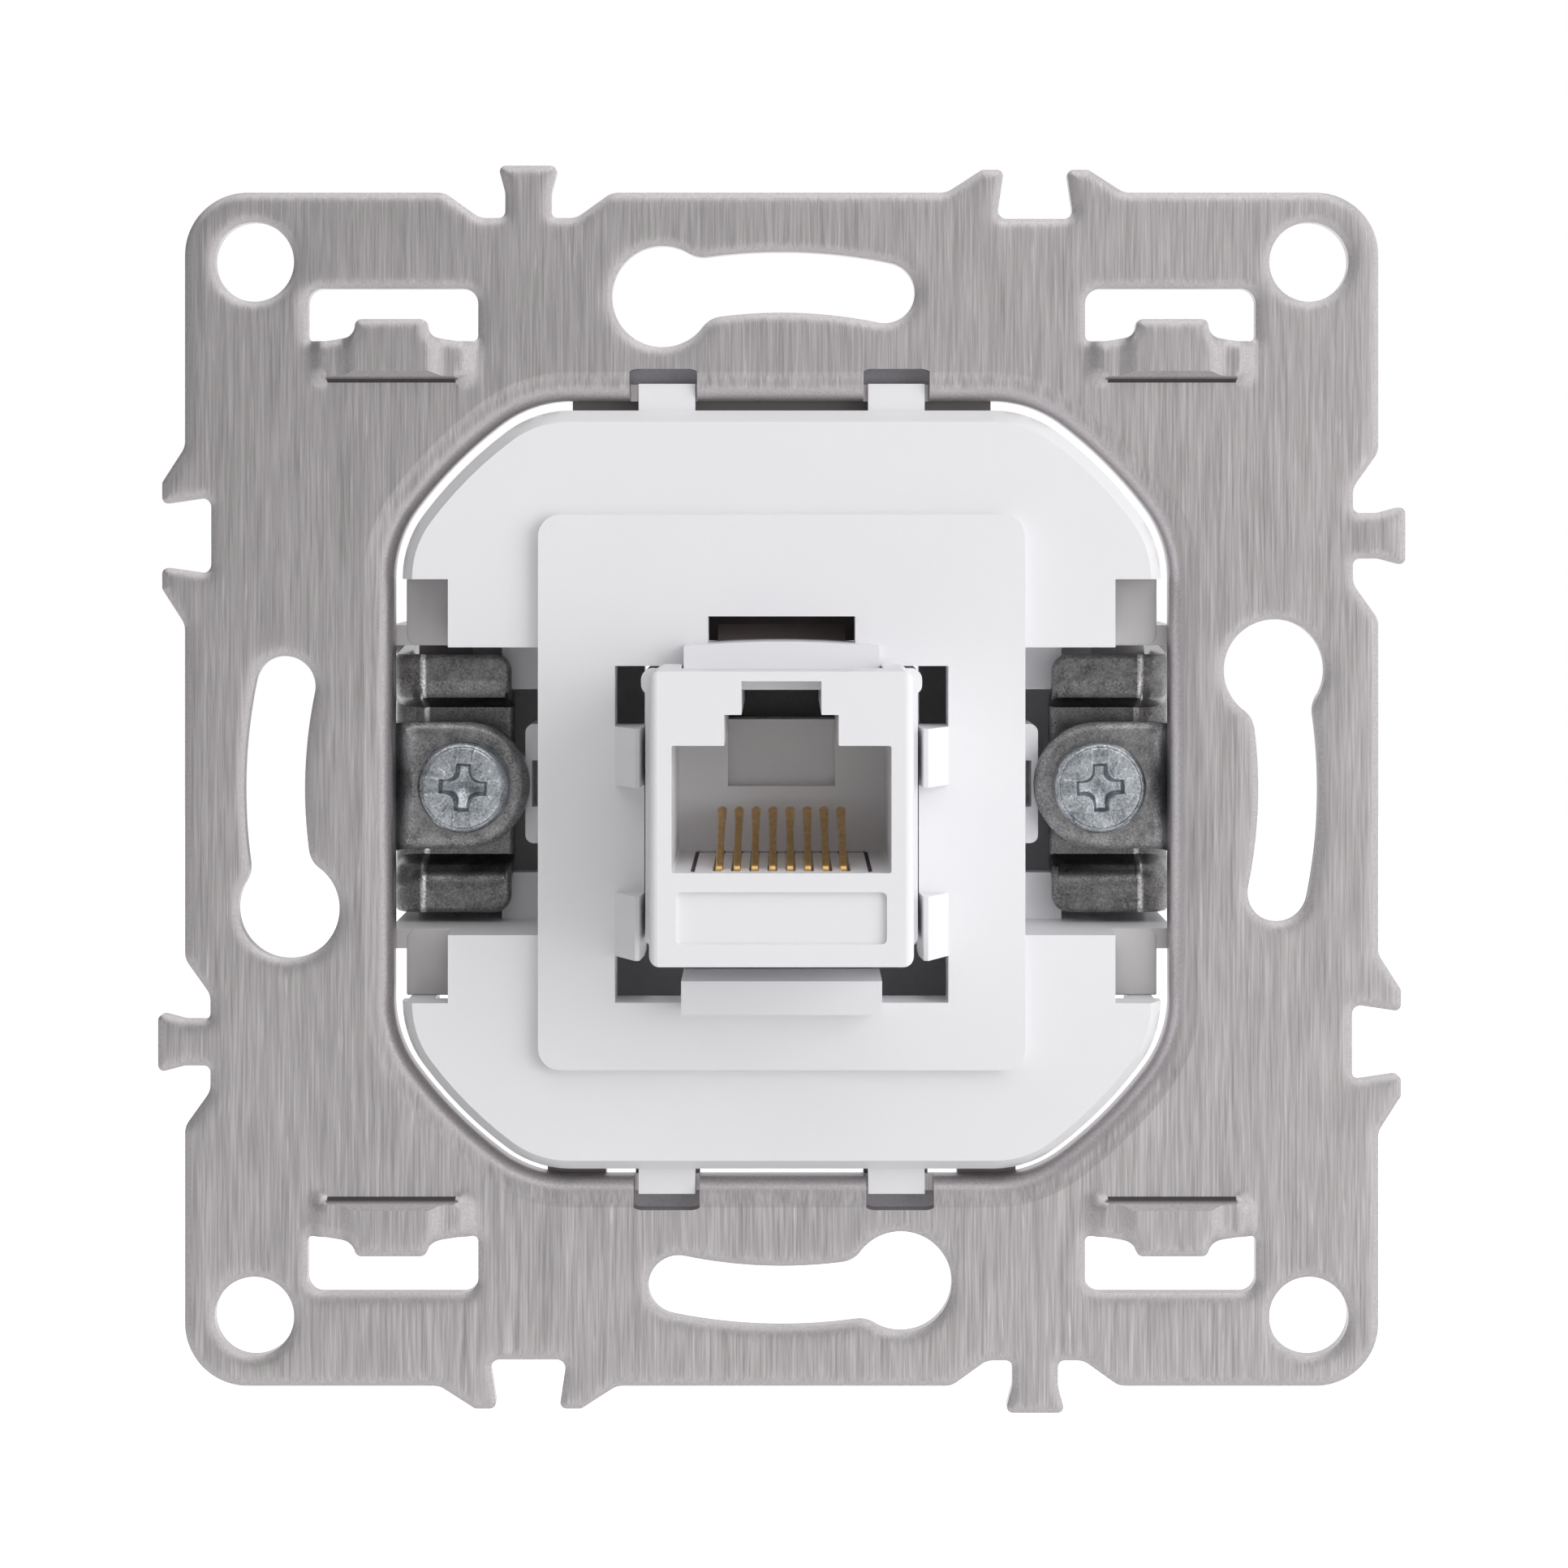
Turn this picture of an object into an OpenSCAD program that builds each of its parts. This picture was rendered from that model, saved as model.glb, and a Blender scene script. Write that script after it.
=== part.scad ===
// Flush ethernet wall socket: a steel support frame with a snapped-in white insert, a keystone
// jack and two spreading claws. Millimetres, X to the right, Z up, the front faces -Y.
// The origin is the centre of the frame on its back plane, which lies on the wall.

/* [Support frame] */
// Edge length of the square sheet, without the couplers
frame_size = 70.6; // [69.6:0.1:71.4]
// Thickness of the steel sheet
sheet_t = 1.0; // [0.8:0.05:1.2]
// Radius of the sheet's outer corners
frame_corner_r = 3.7; // [2:0.1:5]
// Pitch of the four corner screw holes
corner_pitch = 62.4; // [61.6:0.1:62.8]
// Diameter of the corner screw holes
corner_hole_d = 4.7; // [4:0.1:5]
// Pitch circle of the box-screw keyholes
box_pitch = 60; // [59:0.1:61]
// Diameter of a keyhole's round end
key_hole_d = 6.0; // [5:0.1:6.4]
// Width of a keyhole's slot
key_slot_w = 3.6; // [3:0.1:4.2]
// Least land of sheet outside a keyhole
key_land = 1.5; // [1:0.1:2]
// Angle from the axis to the round end of a keyhole
key_round_angle = 13.6; // [12:0.1:15]
// Angle from the axis to the shut end of a keyhole
key_shut_angle = 11.7; // [9:0.1:13]

/* [Couplers] */
// Distance of each coupler from the frame's centre line
coupler_x = 15; // [14:0.1:16]
// How far a coupler tab reaches past the sheet's edge
tab_reach = 1.6; // [1.2:0.1:1.8]
// Width of a coupler tab's head
tab_head_w = 3.56; // [3.2:0.02:3.8]
// Width of a coupler tab's neck
tab_neck_w = 2.7; // [2.2:0.05:3]
// Clearance between a tab and its notch, each side
coupler_clear = 0.5; // [0.2:0.05:0.6]
// Depth of the recess round a tab, inside the sheet's edge
tab_recess = 1.5; // [1:0.05:1.8]
// Width of that recess at the sheet's edge
recess_w = 9.9; // [9:0.1:10.6]
// Depth of a notch, inside the sheet's edge
notch_depth = 1.55; // [1.3:0.05:1.8]
// How far the horns of a notch stand past the sheet's edge
horn_reach = 1.35; // [0.8:0.05:1.4]
// Width over the two horns of a notch
horn_w = 6.3; // [6:0.1:7]
// Sideways run of the slopes beside horns and tabs
coupler_slope = 2.1; // [1.6:0.1:2.3]

/* [Centre opening] */
// Width of the opening inside its flange, flat to flat
opening = 46; // [45.4:0.1:46.4]
// Radius of the opening's corner curve
opening_R = 25; // [24:0.5:26]
// Radius of the blend from corner curve to flat
opening_r = 6.9; // [6.4:0.1:7.4]
// Outer radius of the rolled edge
bend_r = 1.7; // [1.5:0.05:2]
// Length of the straight wall behind the rolled edge
flange_wall = 0.3; // [0.2:0.05:1]
// Outward reach of a clip window past the flange's inside
clip_window_reach = 1.9; // [1.7:0.05:2.2]

/* [Cover lugs] */
// Sideways distance of a lug's middle from the centre
lug_x = 23; // [22.6:0.1:23.6]
// Height of a lug's outer edge above the centre
lug_z = 26.5; // [26.2:0.1:26.8]
// Length of a lug's bridge
lug_len = 9.9; // [9:0.1:10.2]
// Width of a lug's bridge
lug_w = 2.5; // [2.2:0.1:2.7]
// How far a bridge is pressed out of the sheet
lug_rise = 0.95; // [0.6:0.05:1.2]
// Length of the ramp at each end of a bridge
lug_ramp = 2.5; // [1.6:0.1:2.6]
// Width of the tongue on a bridge
lug_tongue_w = 4.2; // [3.5:0.1:5]
// Reach of the tongue into the window
lug_tongue = 1.3; // [0.8:0.1:1.8]
// Height of the window outside a bridge
lug_window = 2.9; // [2.6:0.1:3.4]
// Width of the slit inside a bridge
lug_slit = 0.7; // [0.5:0.05:0.9]

/* [Socket body] */
// Gap between the insert and the frame's flange
body_gap = 0.6; // [0.4:0.05:0.8]
// How far the insert's plate stands proud of the sheet
plate_proud = 1.2; // [0.6:0.1:2]
// Thickness of the insert's plate
plate_t = 2.0; // [1.6:0.1:2.4]
// Width of the slope round the plate's front
plate_edge_w = 0.7; // [0.4:0.05:0.9]
// Depth of the slope round the plate's front
plate_edge_d = 1.2; // [0.8:0.1:1.6]
// Width of the raised platform
platform_w = 28.5; // [27.5:0.1:29]
// Height of the raised platform
platform_h = 32.5; // [31.5:0.1:33.5]
// How far the platform rises from the plate
platform_rise = 0.8; // [0.4:0.1:1.2]
// Radius of the platform's corners
platform_r = 1.3; // [0.8:0.1:2]
// Wall thickness of the insert
wall_t = 1.5; // [1.2:0.1:1.8]
// Depth of the insert behind the wall plane
body_depth = 13; // [12:0.5:15]
// Height of the side cut-outs for the claws
claw_bay_h = 16.9; // [16.7:0.1:17.4]
// Width of a stepped ledge beside a claw bay
ledge_w = 2.8; // [2.2:0.1:3.2]
// Height of a stepped ledge
ledge_h = 4.0; // [3.4:0.1:4.4]
// Depth of a stepped ledge below the plate's front
ledge_drop = 3.5; // [2.6:0.1:4]
// Sideways distance of the clips from the centre
clip_x = 6.8; // [6:0.1:7.6]
// Width of a clip
clip_w = 3.35; // [3:0.05:3.6]
// Clearance of a clip in its window, each side
clip_clear = 0.28; // [0.2:0.02:0.4]

/* [Jack] */
// Width of the jack's face
jack_w = 14.6; // [14.4:0.05:14.9]
// Height of the jack's face
jack_h = 16.25; // [16:0.05:16.4]
// Height of the face's middle above the frame's centre
jack_z = -0.55; // [-0.8:0.05:0.1]
// Reach of the face in front of the sheet
jack_reach = 13; // [12:0.1:14]
// Width of the plug opening
port_w = 12.1; // [11.7:0.05:12.2]
// Height of the plug opening
port_h = 7; // [6.6:0.05:7]
// Depth of the plug opening
port_depth = 12; // [11:0.1:12.4]
// Height of the port's middle above the face's middle
port_z = 0.54; // [0.4:0.02:0.8]
// Width of the latch opening's lower step
latch_w = 6.3; // [6:0.1:6.6]
// Height of the latch opening's lower step
latch_h = 1.7; // [1.5:0.05:1.9]
// Width of the latch opening's upper step
latch_top_w = 4.4; // [4:0.1:4.8]
// Height of the latch opening's upper step
latch_top_h = 1.85; // [1.6:0.05:1.95]
// Clearance between the jack and the insert
jack_clear = 0.12; // [0.08:0.02:0.2]
// Pitch of the port contacts
contact_pitch = 1.02; // [1:0.01:1.04]
// Width of a port contact
contact_w = 0.42; // [0.36:0.02:0.5]
// Thickness of a port contact
contact_t = 0.34; // [0.28:0.02:0.4]
// Thickness of the jack's circuit board
board_t = 1.6; // [1.2:0.1:1.8]
// Depth of the terminal block behind the board
block_depth = 9.4; // [8:0.1:10]

/* [Claws] */
// Sideways distance of the claw screws from the centre
claw_x = 19; // [18.6:0.1:19.4]
// Width of a bracket's tongue
tongue_w = 7.6; // [7:0.1:8]
// Thickness of a bracket
bracket_t = 1.2; // [1:0.05:1.4]
// Depth of a tongue's front behind the sheet's front
tongue_drop = 2.8; // [2.4:0.1:2.8]
// Height of a claw
claw_h = 15.6; // [15:0.1:16]
// Sheet thickness of a claw
claw_t = 1.0; // [0.8:0.05:1.2]
// Length of a claw's leg behind its bend
claw_leg = 17; // [14:0.5:20]
// Diameter of a claw screw's shank
screw_d = 2.9; // [2.6:0.1:3.1]
// Diameter of a claw screw's head
head_d = 5.5; // [5:0.1:5.8]
// Height of a claw screw's head
head_h = 1.5; // [1.2:0.1:1.6]
// Length of a claw screw's shank
screw_len = 13; // [11:0.5:16]

/* [Hidden] */
$fn = 48;
eps = 0.01;

steel = "#a5a2a2";
white = "#e1e0e4";
zinc = "#6f7478";
zinc_bright = "#a3abb0";
gold = "#a57d46";
green = "#2f5d45";

// Depth planes, front to back
sheet_y = -sheet_t;
plate_y = sheet_y - plate_proud;
plate_back = plate_y + plate_t;
platform_y = plate_y - platform_rise;
flange_y = sheet_y + bend_r + flange_wall;
face_y = sheet_y - jack_reach;
tongue_y = sheet_y + tongue_drop;
tongue_back = tongue_y + bracket_t;

// Corner curve of the opening: one wide arc blended into the flats by two tight ones
half = opening / 2;
blend_dir = [0.6, 0.8];
blend_z = half - opening_r;
arc_c = blend_z - blend_dir[1] * (opening_R - opening_r);
blend_x = arc_c + blend_dir[0] * (opening_R - opening_r);
wide_dir = [blend_dir[1], blend_dir[0]];

// Helpers: extrusions along the three axes
module along_y(y0, y1) translate([0, y1, 0]) rotate([90, 0, 0]) linear_extrude(y1 - y0) children();
module along_x(x0, x1) translate([x0, 0, 0]) rotate([90, 0, 90]) linear_extrude(x1 - x0) children();
module along_z(z0, z1) translate([0, 0, z0]) linear_extrude(z1 - z0) children();
module sides() {
  children();
  mirror([1, 0, 0]) children();
}
module top_and_bottom() {
  children();
  mirror([0, 0, 1]) children();
}
module box(x0, x1, y0, y1, z0, z1) translate([x0, y0, z0]) cube([x1 - x0, y1 - y0, z1 - z0]);
module quarter_turns() for (k = [0:3]) rotate(90 * k) children();

// Helpers: outlines
module rect(x0, x1, z0, z1) translate([x0, z0]) square([x1 - x0, z1 - z0]);
module round_rect(x0, x1, z0, z1, r) {
  rect(x0 + r, x1 - r, z0, z1);
  rect(x0, x1, z0 + r, z1 - r);
  for (x = [x0 + r, x1 - r]) for (z = [z0 + r, z1 - r]) translate([x, z]) circle(r);
}
// Wedge from point c between two directions, and the part of a circle inside it
module wedge(c, r, d0, d1) polygon([c, c + 2 * r * d0, c + 2 * r * (d0 + d1), c + 2 * r * d1]);
module sector(c, r, d0, d1) intersection() {
  translate(c) circle(r);
  wedge(c, r, d0, d1);
}
function turned(p, k) = k == 0 ? p : turned([for (q = p) [-q[1], q[0]]], k - 1);
function unit(v) = v / norm(v);
function normal(v) = [-v[1], v[0]];
function heading(p, i) = unit(p[i + 1] - p[i]);
function edge_point(p, i, d) =
  let (n = len(p), a = normal(heading(p, max(0, i - 1))), b = normal(heading(p, min(n - 2, i))),
       m = unit(a + b))
  p[i] + m * d / (m * a);
function strip(p, t) = concat([for (i = [0:len(p) - 1]) edge_point(p, i, t / 2)],
                              [for (i = [len(p) - 1:-1:0]) edge_point(p, i, -t / 2)]);
function arc(c, r, a0, a1, n = 8) = [for (i = [0:n]) let (a = a0 + (a1 - a0) * i / n)
                                     c + r * [cos(a), sin(a)]];

// Rounds each corner [x, z, r] of a closed outline with an arc of n steps
function corner_arc_points(a, b, c, r, n) =
  let (u = unit(a - b), v = unit(c - b), t = acos(u * v) / 2, o = b + unit(u + v) * r / sin(t),
       p = b + u * r / tan(t) - o, q = b + v * r / tan(t) - o,
       from = atan2(p[1], p[0]), turn = (atan2(q[1], q[0]) - from + 540) % 360 - 180)
  [for (i = [0:n]) o + r * [cos(from + turn * i / n), sin(from + turn * i / n)]];
function flat2(p) = [p[0], p[1]];
function rounded(p, n = 4) = let (m = len(p)) [for (i = [0:m - 1])
  each p[i][2] == 0 ? [flat2(p[i])]
       : corner_arc_points(flat2(p[(i + m - 1) % m]), flat2(p[i]), flat2(p[(i + 1) % m]), p[i][2], n)];
function mirrored(p) = concat(p, [for (i = [len(p) - 1:-1:0]) [-p[i][0], p[i][1], p[i][2]]]);
function shifted(p, x) = [for (q = p) [q[0] + x, q[1], q[2]]];

// The opening's outline, grown outwards by d
module opening_shape(d) {
  r = opening_r + d;
  corner = [[half + d, blend_x], [blend_z, blend_x] + r * wide_dir,
            [blend_x, blend_z] + r * blend_dir, [blend_x, half + d]];
  polygon([for (k = [0:3]) for (p = turned(corner, k)) p]);
  quarter_turns() {
    sector([blend_z, blend_x], r, [1, 0], wide_dir);
    sector([arc_c, arc_c], opening_R + d, wide_dir, blend_dir);
    sector([blend_x, blend_z], r, blend_dir, [0, 1]);
  }
}
// Sweeps a profile round the opening: x is outwards from the flange's inside, y is depth
module corner_arc(c, r, d0, d1) intersection() {
  translate([c[0], 0, c[1]]) rotate([90, 0, 0]) rotate_extrude() translate([r, 0]) mirror([0, 1]) children();
  along_y(-20, 20) wedge(c, r, d0, d1);
}
module round_opening() for (k = [0:3]) rotate([0, 90 * k, 0]) {
  along_x(-blend_x, blend_x) translate([0, half]) mirror([1, -1]) children();
  corner_arc([blend_z, blend_x], opening_r, [1, 0], wide_dir) children();
  corner_arc([arc_c, arc_c], opening_R, wide_dir, blend_dir) children();
  corner_arc([blend_x, blend_z], opening_r, blend_dir, [0, 1]) children();
}

// Support frame
edge = max(frame_size / 2, (box_pitch + key_hole_d) / 2 + key_land);
// A keyhole's shut end is this much wider than its slot, so that the two curves cross
key_end_over = 0.06;
tab_tip_r = 0.35;
tab_root_r = 0.4;
slope_r = 1.2;
notch_r = 0.5;
// One coupler tab in its recess, and one notch between its horns, as corners [x, z, r] from the left
tab_corners = mirrored([
  [-recess_w / 2, edge, slope_r], [-recess_w / 2 + coupler_slope, edge - tab_recess, slope_r],
  [-tab_neck_w / 2, edge - tab_recess, tab_root_r], [-tab_neck_w / 2, edge, slope_r],
  [-tab_head_w / 2, edge + tab_reach, tab_tip_r]]);
notch_corners = mirrored([
  [-horn_w / 2 - coupler_slope, edge, slope_r], [-horn_w / 2, edge + horn_reach, tab_tip_r],
  [-tab_neck_w / 2 - coupler_clear, edge + horn_reach, tab_tip_r],
  [-tab_head_w / 2 - coupler_clear, edge - notch_depth, notch_r]]);
side_corners = concat([[-edge + frame_corner_r, edge, 0]], shifted(tab_corners, -coupler_x),
                      shifted(notch_corners, coupler_x), [[edge - frame_corner_r, edge, 0]]);
function turned_corners(p, k) = k == 0 ? p : turned_corners([for (q = p) [q[1], -q[0], q[2]]], k - 1);
module blank_outline() {
  polygon(rounded([for (k = [0:3]) each turned_corners(side_corners, k)]));
  for (x = [-1, 1]) for (z = [-1, 1]) translate([x, z] * (edge - frame_corner_r)) circle(frame_corner_r);
}
module keyhole_outline() {
  r = box_pitch / 2;
  intersection() {
    difference() {
      circle(r + key_slot_w / 2);
      circle(r - key_slot_w / 2);
    }
    polygon([[0, 0], for (a = [90 - key_shut_angle, 90, 90 + key_round_angle])
             2 * r * [cos(a), sin(a)]]);
  }
  rotate(-key_shut_angle) translate([0, r]) circle(d = key_slot_w + key_end_over);
  rotate(key_round_angle) translate([0, r]) circle(d = key_hole_d);
}
lug_window_r = 0.9;
lug_flank_r = 0.85;
lug_tip_r = 0.4;
lug_side_clear = 0.1;
slit_inset = 1;
module lug_cut_outline() translate([lug_x, 0]) {
  polygon(rounded(mirrored([
    [-lug_len / 2 - lug_side_clear, lug_z + lug_window, lug_window_r],
    [-lug_len / 2 - lug_side_clear, lug_z - lug_w / 4, 0]])));
  rect(-lug_len / 2, lug_len / 2, lug_z - lug_w, lug_z);
  round_rect(-lug_len / 2 + slit_inset, lug_len / 2 - slit_inset, lug_z - lug_w - lug_slit, lug_z - lug_w + lug_slit,
             lug_slit / 3);
}
module lug_bridge() translate([lug_x, 0, 0]) {
  ramp = [for (i = [0:8]) [lug_ramp * i / 8 - lug_len / 2, lug_rise * (1 - cos(180 * i / 8)) / 2]];
  over = lug_w / 8;
  front = concat([[-lug_len / 2 - over, 0]], ramp, [for (i = [8:-1:0]) [-ramp[i][0], ramp[i][1]]],
                 [[lug_len / 2 + over, 0]]);
  along_z(lug_z - lug_w, lug_z) polygon(concat(
    [for (p = front) [p[0], sheet_y - p[1]]],
    [for (i = [len(front) - 1:-1:0]) [front[i][0], -front[i][1]]]));
  // Tongue with hollow flanks
  along_y(sheet_y - lug_rise, -lug_rise) polygon(rounded(mirrored([
    [-lug_len / 2 + lug_ramp - over, lug_z - lug_w / 2, 0], [-lug_len / 2 + lug_ramp - over, lug_z, 0],
    [-lug_tongue_w / 2, lug_z, lug_flank_r / 2], [-lug_tongue_w / 2, lug_z + lug_tongue, lug_tip_r]])));
}
module sheet_outline() difference() {
  blank_outline();
  quarter_turns() {
    keyhole_outline();
    translate([corner_pitch / 2, corner_pitch / 2]) circle(d = corner_hole_d);
  }
  for (a = [0, 1]) for (b = [0, 1]) mirror([a, 0]) mirror([0, b]) lug_cut_outline();
  opening_shape(bend_r);
}
module flange_profile() {
  translate([0, sheet_y + bend_r]) square([sheet_t, flange_wall]);
  intersection() {
    translate([bend_r, sheet_y + bend_r]) difference() {
      circle(bend_r);
      circle(bend_r - sheet_t);
    }
    translate([0, sheet_y]) square([bend_r, bend_r]);
  }
}
clip_window_w = clip_w + 2 * clip_clear;
clip_floor = sheet_y + bend_r - 0.1;
module mounting_frame() color(steel) {
  difference() {
    union() {
      along_y(sheet_y, 0) sheet_outline();
      round_opening() flange_profile();
    }
    sides() top_and_bottom()
      box(clip_x - clip_window_w / 2, clip_x + clip_window_w / 2, sheet_y - 1, clip_floor,
          half - 1, half + clip_window_reach);
    sides() box(half - 0.5, half + sheet_t + 0.1, sheet_y + bend_r, flange_y + 1,
                -tongue_w / 2 - bracket_clear, tongue_w / 2 + bracket_clear);
  }
  sides() top_and_bottom() lug_bridge();
}

// Claw brackets: a tongue welded into a gap of the flange, with a round end under the screw's head
bracket_clear = 0.05;
bracket_bend = 0.7;
module claw_bracket() color(zinc) difference() {
  union() {
    along_y(tongue_y, tongue_back) {
      translate([claw_x, 0]) circle(d = tongue_w);
      rect(claw_x, half + sheet_t, -tongue_w / 2, tongue_w / 2);
    }
    box(half, half + sheet_t, sheet_y + bend_r, tongue_back, -tongue_w / 2, tongue_w / 2);
    along_z(-tongue_w / 2, tongue_w / 2) difference() {
      translate([half - bracket_bend, tongue_y - bracket_bend]) square([bracket_bend + eps, bracket_bend + eps]);
      translate([half - bracket_bend, tongue_y - bracket_bend]) circle(bracket_bend);
    }
  }
  along_y(tongue_y - 1, tongue_back + 1) translate([claw_x, 0]) circle(d = screw_d + 0.5);
}
module claw_bracket_right() claw_bracket();
module claw_bracket_left() mirror([1, 0, 0]) claw_bracket();

// Claws: a foot that rocks on its inner edge and a leg with a toothed end. The foot's middle is
// pressed down into a channel, so that it passes behind the tongue.
foot_gap = 0.4;
channel_gap = 2.6;
slot_clear = 0.36;
slot_travel = 0.25;
foot_x = claw_x - 2.6;
foot_y = tongue_back + foot_gap + claw_t / 2;
channel_y = tongue_back + channel_gap + claw_t / 2;
claw_bend = 1.2;
leg_lean = 5;
tooth_bend = 28;
tooth_len = 2.8;
bend_x = half - 1.8;
leg_dir = [sin(leg_lean), cos(leg_lean)];
shoulder_edge = tongue_w / 2 + 0.9;
rocker_w = tongue_w - 0.2;
function bend_out(c) = arc(c, claw_bend, -90, -leg_lean, 8);
leg_start = [bend_x, foot_y + claw_bend] + claw_bend * [cos(leg_lean), -sin(leg_lean)];
leg_end = leg_start + claw_leg * leg_dir;
channel_bend_y = channel_y + claw_bend;
channel_bend_x = leg_start[0] + tan(leg_lean) * (channel_bend_y - claw_bend * sin(leg_lean) - leg_start[1])
                 - claw_bend * cos(leg_lean);
tooth_end = leg_end + tooth_len * [sin(leg_lean + tooth_bend), cos(leg_lean + tooth_bend)];
module foot_section() {
  step = 1.1;
  path = [[claw_h / 2, foot_y], [shoulder_edge + step / 2, foot_y], [shoulder_edge - step / 2, channel_y],
          [-shoulder_edge + step / 2, channel_y], [-shoulder_edge - step / 2, foot_y], [-claw_h / 2, foot_y]];
  polygon([for (p = strip(path, claw_t)) [p[1], p[0]]]);
}
module claw() color(zinc) difference() {
  union() {
    along_x(foot_x, bend_x) foot_section();
    // Rounded edge of the channel that the claw rocks on
    along_z(-rocker_w / 2, rocker_w / 2) translate([foot_x, channel_y]) circle(d = claw_t);
    top_and_bottom() along_z(shoulder_edge + 0.3, claw_h / 2)
      polygon(strip(concat([[bend_x - 0.5, foot_y]], bend_out([bend_x, foot_y + claw_bend]), [leg_end, tooth_end]),
                    claw_t));
    along_z(-shoulder_edge + 0.3, shoulder_edge - 0.3)
      polygon(strip(concat([[bend_x - 0.5, channel_y]], bend_out([channel_bend_x, channel_bend_y]), [leg_end]),
                    claw_t));
    along_z(-shoulder_edge - 1, shoulder_edge + 1)
      polygon(strip([leg_start + 7 * leg_dir, leg_end, tooth_end], claw_t));
  }
  // Rounded inner corners of the two shoulders
  top_and_bottom() along_y(foot_y - 2, channel_y + 2) difference() {
    rect(foot_x - 1, foot_x + 1, claw_h / 2 - 1, claw_h / 2 + 1);
    translate([foot_x + 1, claw_h / 2 - 1]) circle(1);
  }
  // Clearance slot for the screw, long enough for the foot's rocking
  along_y(channel_y - 2, channel_y + 2) {
    for (x = [claw_x, claw_x + slot_travel]) translate([x, 0]) circle(d = screw_d + 2 * slot_clear);
    rect(claw_x, claw_x + slot_travel, -screw_d / 2 - slot_clear, screw_d / 2 + slot_clear);
  }
  // Slot in the leg
  along_x(half - 3, half + 6) round_rect(leg_end[1] - 5.5, leg_end[1] - 2.3, -claw_h / 4, claw_h / 4, 1.5);
  // Teeth
  for (i = [-2:2]) along_x(half - 2, half + 8) polygon([
    [tooth_end[1] - 1.9, claw_h / 5 * i],
    [tooth_end[1] + 2, claw_h / 5 * i - claw_h / 5],
    [tooth_end[1] + 2, claw_h / 5 * i + claw_h / 5]]);
}
module claw_right() claw();
module claw_left() mirror([1, 0, 0]) claw();

// Claw screws: pan head with a cross recess
module claw_screw() color(zinc_bright) translate([claw_x, tongue_y, 0]) rotate([-90, 0, 0]) difference() {
  rotate_extrude() polygon([
    [0, -head_h], [head_d / 2 - 0.35, -head_h], [head_d / 2, -head_h + 0.35], [head_d / 2, 0], [screw_d / 2, 0],
    [screw_d / 2, screw_len - 0.6], [screw_d / 2 - 0.6, screw_len], [0, screw_len]]);
  for (a = [0, 90]) rotate(a) translate([-head_d / 4, -head_d / 12, -head_h - 1]) cube([head_d / 2, head_d / 6, 2]);
  translate([0, 0, -head_h - eps]) cylinder(d1 = head_d / 3, d2 = head_d / 8, h = head_h);
}
module claw_screw_right() claw_screw();
module claw_screw_left() mirror([1, 0, 0]) claw_screw();

// Jack: face, port and the neck that passes through the insert
jack_top = jack_z + jack_h / 2;
jack_bottom = jack_z - jack_h / 2;
port_mid = jack_z + port_z;
port_floor = port_mid - port_h / 2;
port_top = port_mid + port_h / 2;
port_back = face_y + port_depth;
neck_y = platform_y - 1.5;
neck_w = jack_w + 1.2;
neck_top = jack_top - 0.3;
shoulder_w = neck_w + 0.5;
housing_back = max(port_back + 3.6, plate_back + 2);
sled_w = 9.6;
sled_t = 1.8;
sled_clear = 0.1;
sled_y = face_y + 0.7;
catch_h = 1.9;
latch_arm_w = 7.6;
latch_y = plate_back + jack_clear;
label_w = jack_w - 3;
face_r = 0.5;
port_r = 0.12;
// Shallow lip over the latch opening, and the sill of the gap behind it
latch_lip = 0.65;
latch_sill = 1.05;
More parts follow.
